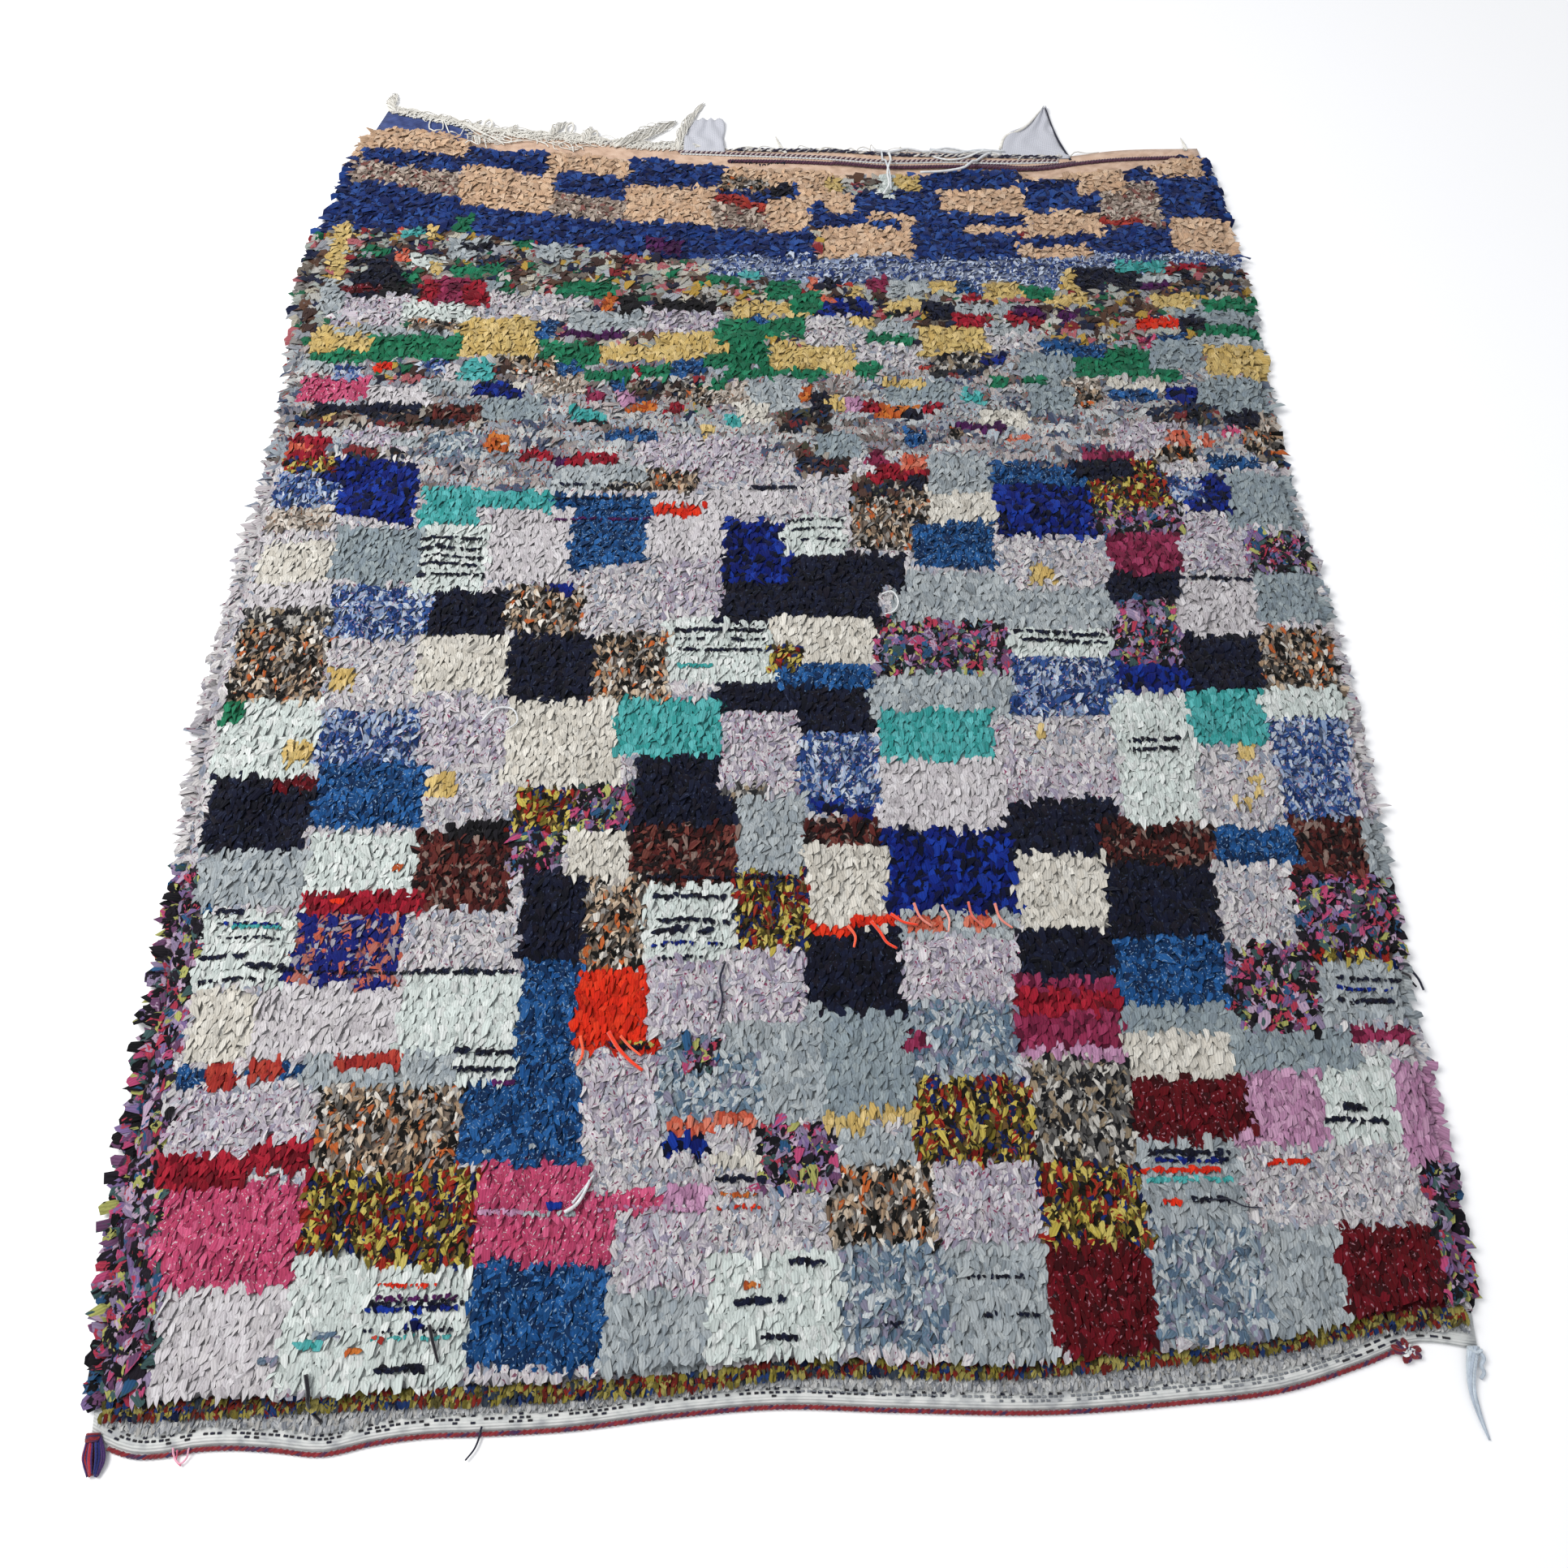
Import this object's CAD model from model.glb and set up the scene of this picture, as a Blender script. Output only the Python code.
"""Looks of the boucherouite rug: its rag pile, woven ends, edging cord, warp fringe and loose yarns.

Metres, +Z up, in the CAD model's frame. Places on the rug are first written as on the chart,
across from the rug's long middle line and along from just behind its near edge.
"""

import math
import random
from collections import namedtuple

import bmesh
import bpy
import numpy as np
from mathutils import Matrix, Vector, noise
from mathutils.bvhtree import BVHTree


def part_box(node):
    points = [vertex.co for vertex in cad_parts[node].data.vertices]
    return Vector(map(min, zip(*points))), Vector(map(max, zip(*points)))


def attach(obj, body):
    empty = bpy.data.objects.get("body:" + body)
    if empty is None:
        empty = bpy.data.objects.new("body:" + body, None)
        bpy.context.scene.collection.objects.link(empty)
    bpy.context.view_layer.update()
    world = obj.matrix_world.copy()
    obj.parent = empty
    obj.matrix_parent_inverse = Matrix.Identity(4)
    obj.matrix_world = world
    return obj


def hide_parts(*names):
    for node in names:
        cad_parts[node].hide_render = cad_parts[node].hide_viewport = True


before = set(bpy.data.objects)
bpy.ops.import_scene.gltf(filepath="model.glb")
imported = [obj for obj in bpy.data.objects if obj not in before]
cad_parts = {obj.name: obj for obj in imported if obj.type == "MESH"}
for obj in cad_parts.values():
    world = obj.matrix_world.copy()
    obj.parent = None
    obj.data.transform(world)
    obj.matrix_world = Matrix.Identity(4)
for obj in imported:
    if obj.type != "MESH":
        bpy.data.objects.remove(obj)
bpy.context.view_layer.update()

# The photo's camera: a standing person's phone, tilted down at the rug
IMAGE_SIZE = 1932
EYE_HEIGHT = 1.51
FOCAL_PIXELS = 1550
PRINCIPAL_COLUMN = 982
TILT_FROM_STRAIGHT_DOWN = math.radians(26.902)
SENSOR_WIDTH = 36.0

# The cloth's plan, as in the CAD model
RUG_LENGTH = 2.07
NEAR_WEAVE_WIDTH = 0.040
FAR_WEAVE_WIDTH = 0.038
WEAVE_THICKNESS = 0.004
PILE_RIM_HEIGHT = 0.015
FAR_CORNER_ALONG = 2.158
LEFT_FLAP_START = -0.180

# Knots in rows across the rug, two rag ends deep in each row
PILE_START = 0.030
KNOT_PITCH = 0.0070
ROW_PITCH = 0.0158
TOP_JITTER = 0.0009
RAG_RINGS = (0.0, 0.5, 1.0)
LYING_SHAPES = 24
UPRIGHT_SHAPES = 12
TIP_POINTS = (0.1, 0.45, 0.85)
LOWEST_POINT = 0.0008
RAG_DEPTH = 0.0062
TUFT_DEPTH = 0.011
BED_BELOW_TOP = 0.0040
USUAL_RAG_WIDTH = 0.0080
STRIPE_END_REACH = 0.0076
PILE_TOP = 0.026
HIGHEST_RAG = 0.0405
SHARP_EDGE = math.radians(55)
MOST_RAGS_IN_PIECE = 12000
RIM_BAND = 0.009
TUFTS_START = 1.34
TUFTS_FULL = 1.72
HALF_ROW_START = 0.26
HALF_ROW_STEP = 0.40
LOWEST_RAG_TOP = 0.013
RIM_ANCHOR = 0.14
RIM_TURN = 1.30
RIM_FOOT = 0.002
UPRIGHT_SHARE_OF_TUFTS = 0.55
UPRIGHT_SHARE = 0.06
STRAY_SHARE = 0.03
STRAY_REACH = 1.4

# A rag ties several knots in a row: this share of its knots, out of so many rags for each row
SAME_RAG_SHARE = 0.8
SAME_RAG_SHARE_NEAR = 0.7
RAG_LANES = 400

# How unevenly blocks end, in centimetres: a slow drift over the rug and each knot's own
SLOW_DRIFT_ACROSS = 0.40
SLOW_DRIFT_ALONG = 0.35
OWN_DRIFT_ACROSS = 0.20
OWN_DRIFT_ALONG = 0.15

# Stripe ends are tied so many hundredths of their width apart, and thin ones leave more gaps
STRIPE_SPACING = 74
THIN_STRIPE = 0.004
STRIPE_SHARE = 0.90
THIN_STRIPE_SHARE = 0.60
STRIPE_ABOVE_PILE = 0.0022
STRIPE_DEPTH = 0.004

# Where the pile stops before the far weave, in centimetres on the chart
PILE_FAR_END = (
    (-76, 212.4), (-68, 210.9), (-62, 209.5), (-58, 206.8), (-53, 205.4), (-46, 204.8), (-37, 204.3),
    (-25, 203.0), (-9, 200.7), (-3, 200.8), (13, 198.6), (21, 199.3), (40, 199.3), (42.5, 197.9),
    (50, 199.3), (56, 200.2), (61, 200.6), (67, 202.8), (69.5, 204.4), (76, 206),
)

# The bright border row near the near end, in centimetres on the chart, and the short pale band
# between it and the bare weave
BORDER_LINE = (
    (-76, 0.9), (-60, 1.4), (-50, 2.0), (-30, 2.7), (-10, 4.0), (0, 5.2), (10, 5.3), (20, 5.1),
    (40, 6.4), (55, 8.0), (65, 9.8), (76, 10.6),
)
BORDER_HALF = 0.85
BORDER_SHIFTS = (0.55, 0.0, -0.55)
BARE_WEAVE = 2.05
BAND_SHARES = (0.0, 0.33, 0.67, 1.0)
NEAR_KNOT_PITCH = 0.0043
SHORT_BAND_TOP = 0.0090
BORDER_TOP = 0.0150

SidePoint = namedtuple("SidePoint", "share left right")
EndPoint = namedtuple("EndPoint", "across along")

# The selvedges, from the near end (share 0) to the far end (share 1)
SIDES = (
    SidePoint(0.00, -0.750, 0.744),
    SidePoint(0.10, -0.776, 0.756),
    SidePoint(0.20, -0.789, 0.752),
    SidePoint(0.30, -0.798, 0.762),
    SidePoint(0.40, -0.813, 0.765),
    SidePoint(0.50, -0.815, 0.762),
    SidePoint(0.60, -0.808, 0.746),
    SidePoint(0.70, -0.808, 0.746),
    SidePoint(0.80, -0.830, 0.752),
    SidePoint(0.88, -0.804, 0.742),
    SidePoint(0.94, -0.786, 0.736),
    SidePoint(1.00, -0.752, 0.722),
)

# The near edge, which swings forward at the left
NEAR_END = (
    EndPoint(-0.750, -0.012),
    EndPoint(-0.730, -0.021),
    EndPoint(-0.700, -0.029),
    EndPoint(-0.670, -0.028),
    EndPoint(-0.640, -0.023),
    EndPoint(-0.600, -0.021),
    EndPoint(-0.555, -0.023),
    EndPoint(-0.502, -0.027),
    EndPoint(-0.452, -0.017),
    EndPoint(-0.397, -0.010),
    EndPoint(-0.340, -0.008),
    EndPoint(-0.244, -0.003),
    EndPoint(-0.132, 0.010),
    EndPoint(-0.019, 0.018),
    EndPoint(0.103, 0.015),
    EndPoint(0.277, 0.013),
    EndPoint(0.410, 0.022),
    EndPoint(0.533, 0.036),
    EndPoint(0.617, 0.060),
    EndPoint(0.674, 0.078),
    EndPoint(0.744, 0.072),
)

# The far edge, which runs further at the left
FAR_END = (
    EndPoint(-0.752, 2.158),
    EndPoint(-0.630, 2.122),
    EndPoint(-0.537, 2.094),
    EndPoint(-0.418, 2.078),
    EndPoint(-0.297, 2.058),
    EndPoint(-0.194, 2.050),
    EndPoint(-0.032, 2.044),
    EndPoint(0.114, 2.044),
    EndPoint(0.320, 2.034),
    EndPoint(0.480, 2.028),
    EndPoint(0.571, 2.044),
    EndPoint(0.722, 2.050),
)

# Rag cloths: rag width in metres, how far the tip is cut to a point (0 to 1), the printed
# motif's size in metres and how much of the cloth it covers, the cloth's colours, flecks or
# dots in it by colour, size in metres and share, and for mixed rags how far one rag goes on
Fleck = namedtuple("Fleck", "colour size share")
Cloth = namedtuple("Cloth", "name finish width point motif cover colours fleck run", defaults=(None, 0.0))
CLOTHS = (
    # Soft knit with a matte face that shades from fold to fold
    Cloth("peach", "cotton_jersey_cut_in_strips_peach", 0.0085, 0.5, 0.02, 0.0,
          ("#EAC4A2", "#F0D0B2", "#DDB592", "#D6B294", "#EECAA8")),
    Cloth("deep_blue", "cotton_jersey_cut_in_strips_deep_blue", 0.0100, 0.6, 0.03, 0.3,
          ("#1E4089", "#183478", "#0E2058", "#2F55A0", "#0C1A48")),
    Cloth("royal", "cotton_jersey_cut_in_strips_royal_blue", 0.0095, 0.4, 0.03, 0.3,
          ("#06186C", "#0C2A8C", "#040C3A", "#1438A0", "#020724", "#071C74")),
    # Washed plain weave, faded along its folds, with a small pale dot
    Cloth("denim", "washed_cotton_with_pale_dots", 0.0080, 0.2, 0.012, 0.4,
          ("#1A5290", "#174B82", "#0E3460", "#2A66A8", "#0C2A52"), Fleck("#86A6C8", 0.0030, 0.045)),
    Cloth("turquoise", "cotton_jersey_cut_in_strips_turquoise", 0.0080, 0.3, 0.02, 0.0,
          ("#4AAEAD", "#62C0C0", "#359D9A", "#53B6B5")),
    Cloth("green", "cotton_jersey_cut_in_strips_green", 0.0085, 0.4, 0.02, 0.0,
          ("#1D7A55", "#278A63", "#156746", "#1A7151")),
    Cloth("mustard", "cotton_jersey_cut_in_strips_mustard", 0.0085, 0.5, 0.02, 0.0,
          ("#E0C47E", "#EACE8E", "#D2B26A", "#DABC76")),
    Cloth("crimson", "cotton_jersey_cut_in_strips_crimson", 0.0080, 0.4, 0.02, 0.0,
          ("#8F1226", "#A41A30", "#700E1E", "#B42236")),
    Cloth("raspberry", "cotton_jersey_cut_in_strips_raspberry", 0.0085, 0.4, 0.02, 0.0,
          ("#8A264A", "#A83C64", "#5E1431", "#922C50")),
    Cloth("rose", "brushed_cotton_rose_with_pale_flecks", 0.0080, 0.3, 0.02, 0.0,
          ("#CE4E78", "#DA6088", "#BC426A", "#C6486E"), Fleck("#E8CCD4", 0.0034, 0.022)),
    Cloth("wine", "brushed_cotton_wine_with_pale_flecks", 0.0085, 0.3, 0.02, 0.0,
          ("#5C0612", "#720E1E", "#3E040B", "#620914"), Fleck("#B07C88", 0.0042, 0.010)),
    Cloth("orange_red", "cotton_jersey_cut_in_strips_orange_red", 0.0075, 0.5, 0.02, 0.0,
          ("#E92F13", "#EF3C1D", "#D82712")),
    Cloth("coral", "cotton_jersey_cut_in_strips_coral", 0.0075, 0.5, 0.02, 0.3,
          ("#D9694F", "#C8533C", "#E0826A")),
    Cloth("brick", "cotton_jersey_cut_in_strips_brick", 0.0075, 0.4, 0.02, 0.0,
          ("#B0362E", "#9C2A2A", "#BE4638")),
    Cloth("orange", "cotton_jersey_cut_in_strips_orange", 0.0080, 0.4, 0.02, 0.0,
          ("#C4602A", "#D67A34", "#B45224")),
    Cloth("baby_pink", "cotton_jersey_cut_in_strips_pink", 0.0080, 0.3, 0.02, 0.0,
          ("#C894B8", "#D6A6C6", "#B884A8")),
    Cloth("violet", "cotton_jersey_cut_in_strips_violet", 0.0085, 0.5, 0.02, 0.0,
          ("#4A1450", "#3A1040", "#5A2060")),
    Cloth("navy", "faded_cotton_navy", 0.0085, 0.4, 0.02, 0.25,
          ("#0D0F24", "#12162E", "#080A17", "#151B34", "#161321"), Fleck("#333C54", 0.0040, 0.02)),
    Cloth("black", "faded_cotton_black", 0.0085, 0.4, 0.02, 0.25,
          ("#0E0D10", "#17151A", "#1E1C22")),
    # Unbleached cotton, slubby and grey with use
    Cloth("cream", "unbleached_cotton_cream", 0.0078, 0.1, 0.02, 0.0,
          ("#E8E3D8", "#F0ECE2", "#DCD6CA", "#E4DFD4")),
    Cloth("blush", "washed_cotton_blush", 0.0078, 0.1, 0.02, 0.1,
          ("#DDD8DA", "#E5E1E4", "#D0CACE", "#D9D4D8")),
    Cloth("mint", "washed_cotton_mint", 0.0078, 0.1, 0.02, 0.0,
          ("#E4ECE8", "#DAE4E0", "#EEF3F0", "#DEE8E4")),
    Cloth("ash_white", "washed_cotton_off_white", 0.0080, 0.1, 0.02, 0.15,
          ("#B5BDC1", "#C2C9CB", "#A6AFB4", "#9EA8AF", "#BBC3C7")),
    Cloth("pale_blue", "washed_cotton_pale_blue", 0.0080, 0.1, 0.02, 0.1,
          ("#9BA8AF", "#8F9DA7", "#A7B3B7", "#95A3AA")),
    # Prints on thin cotton: each rag end shows its own piece of the print
    Cloth("mottle", "printed_cotton_pale_grey", 0.0078, 0.1, 0.008, 0.35,
          ("#DCD8DA", "#C4C0C6", "#E8E4E4", "#B2AEB8", "#D2CACE", "#D6D4D6", "#9EA6B6", "#E2DEDE"),
          Fleck("#8A5A6E", 0.005, 0.02)),
    Cloth("lilac_mottle", "printed_cotton_lilac_grey", 0.0078, 0.1, 0.008, 0.35,
          ("#DAD4DA", "#C6BECA", "#E6E0E4", "#B4ACBA", "#D0C6D0", "#C4C6D0", "#E0DCDE", "#A098AE"),
          Fleck("#94486A", 0.005, 0.03)),
    Cloth("warm_mottle", "printed_cotton_warm_grey", 0.0080, 0.5, 0.009, 0.4,
          ("#CFC6BC", "#B0A498", "#E4DCD2", "#8E8276", "#C6B8AA", "#DCD0C4", "#6E645C"),
          Fleck("#9A6A4A", 0.005, 0.03)),
    Cloth("olive_print", "printed_cotton_olive_red_blue", 0.0070, 0.6, 0.008, 0.3,
          ("#C8B450", "#D2BE5A", "#9A2018", "#4A4018", "#182C6E", "#D6C46A", "#70140E", "#14120C",
           "#7A6C28", "#121E4A", "#1C1810", "#A83020")),
    Cloth("floral", "printed_cotton_black_with_flowers", 0.0105, 0.3, 0.007, 0.3,
          ("#161319", "#C24C7A", "#C2A8C1", "#1A161D", "#B7B86A", "#846C9E", "#0F0E13", "#B53A52",
           "#435E5E", "#231E28", "#9988A8", "#2D5A84", "#111017", "#724A6F")),
    Cloth("camel_print", "printed_cotton_black_and_camel", 0.0066, 0.6, 0.009, 0.25,
          ("#0E0D0B", "#DCC8B0", "#7E6A58", "#121110", "#F0EAE0", "#54504C", "#CDB49A", "#161412",
           "#A88C70", "#9C9894", "#CE6A34", "#0E0D0C", "#B4AEA8")),
    Cloth("charcoal_print", "printed_cotton_black_and_ash", 0.0075, 0.6, 0.009, 0.25,
          ("#15151A", "#B4B0AA", "#6E6C6A", "#1E1E22", "#D8D4CC", "#4E4C4C", "#9C8A72")),
    Cloth("maroon_print", "printed_cotton_maroon", 0.0080, 0.5, 0.009, 0.3,
          ("#481918", "#682B27", "#907970", "#120B0D", "#511D1C", "#190E11", "#794138", "#261213")),
    Cloth("blue_print", "printed_cotton_blue_and_white", 0.0072, 0.4, 0.007, 0.4,
          ("#284A8A", "#8CA4CA", "#1B3468", "#D0DAE8", "#3A5EA2", "#243E7A", "#A8B8D4"),
          Fleck("#B88FA0", 0.004, 0.02)),
    Cloth("royal_coral", "printed_cotton_royal_and_coral", 0.0085, 0.4, 0.008, 0.3,
          ("#141E72", "#1E2C80", "#B86E62", "#161F76", "#A8A4B0", "#182478", "#C86450", "#121A66")),
    Cloth("steel_print", "printed_cotton_grey_blue", 0.0078, 0.5, 0.009, 0.35,
          ("#76889C", "#AFBAC2", "#C6CDD1", "#566C83", "#9CABB4", "#CFD5D7", "#8D8AA0", "#6A849A")),
    Cloth("marl", "marled_jersey_blue_and_white", 0.0052, 0.2, 0.004, 0.8,
          ("#2F4889", "#C7D4EB", "#405B98", "#DFE7F6", "#283D7A", "#A1B4D8", "#D4DFF2", "#2D4483")),
    Cloth("rose_brown", "printed_cotton_rose_brown", 0.0075, 0.5, 0.007, 0.4,
          ("#BCA998", "#8E7C70", "#D2C0B0", "#6E5C54", "#C6B6AA", "#A48E82", "#DCCCBE", "#8C5650")),
    Cloth("short_band", "printed_cotton_ash_and_slate", 0.0052, 0.2, 0.006, 0.3,
          ("#C6C8CA", "#B6B8BC", "#D2D2D2", "#A4A8AE", "#BEBCB8", "#CACCCE", "#8C9098", "#D8D8D6")),
    # Odds and ends, one rag after another along each row
    Cloth("confetti", "mixed_cotton_rag_bits", 0.0120, 0.5, 0.02, 0.1,
          ("#C4C2BC", "#A7AFA9", "#736A61", "#B8B3A9", "#1C6647", "#C8C2B1", "#1D2544", "#BD9944",
           "#999592", "#8C282F", "#A4A7AF", "#442F2A", "#B6656D", "#212135", "#614435", "#B3BAB3"),
          None, 0.022),
    Cloth("pale_confetti", "mixed_cotton_rag_bits_pale", 0.0095, 0.5, 0.015, 0.3,
          ("#C0C4C6", "#9CA2AC", "#D2D2D0", "#8A8892", "#B0BAC4", "#6C7688", "#C4BAB8", "#4C5670",
           "#CCCECE", "#A8A09E", "#A4AEB8", "#7A706C"), Fleck("#A04A44", 0.005, 0.03), 0.045),
    Cloth("dark_confetti", "mixed_cotton_rag_bits_dark", 0.0100, 0.5, 0.015, 0.3,
          ("#2A2A30", "#5A4038", "#14161E", "#8E8276", "#24406A", "#3A2A24", "#7A2A2E", "#B0A89E",
           "#1E2A44", "#4A4A38"), None, 0.022),
    Cloth("border_mix", "mixed_cotton_rag_bits_bright", 0.0052, 0.2, 0.01, 0.2,
          ("#948737", "#A99B4B", "#741F1A", "#1E3A72", "#5D562C", "#84261D", "#A29751", "#131F44",
           "#7B7030", "#5D2016", "#ABA05A", "#333D4A"), None, 0.011),
)
CLOTH_NUMBER = {cloth.name: k for k, cloth in enumerate(CLOTHS)}


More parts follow.
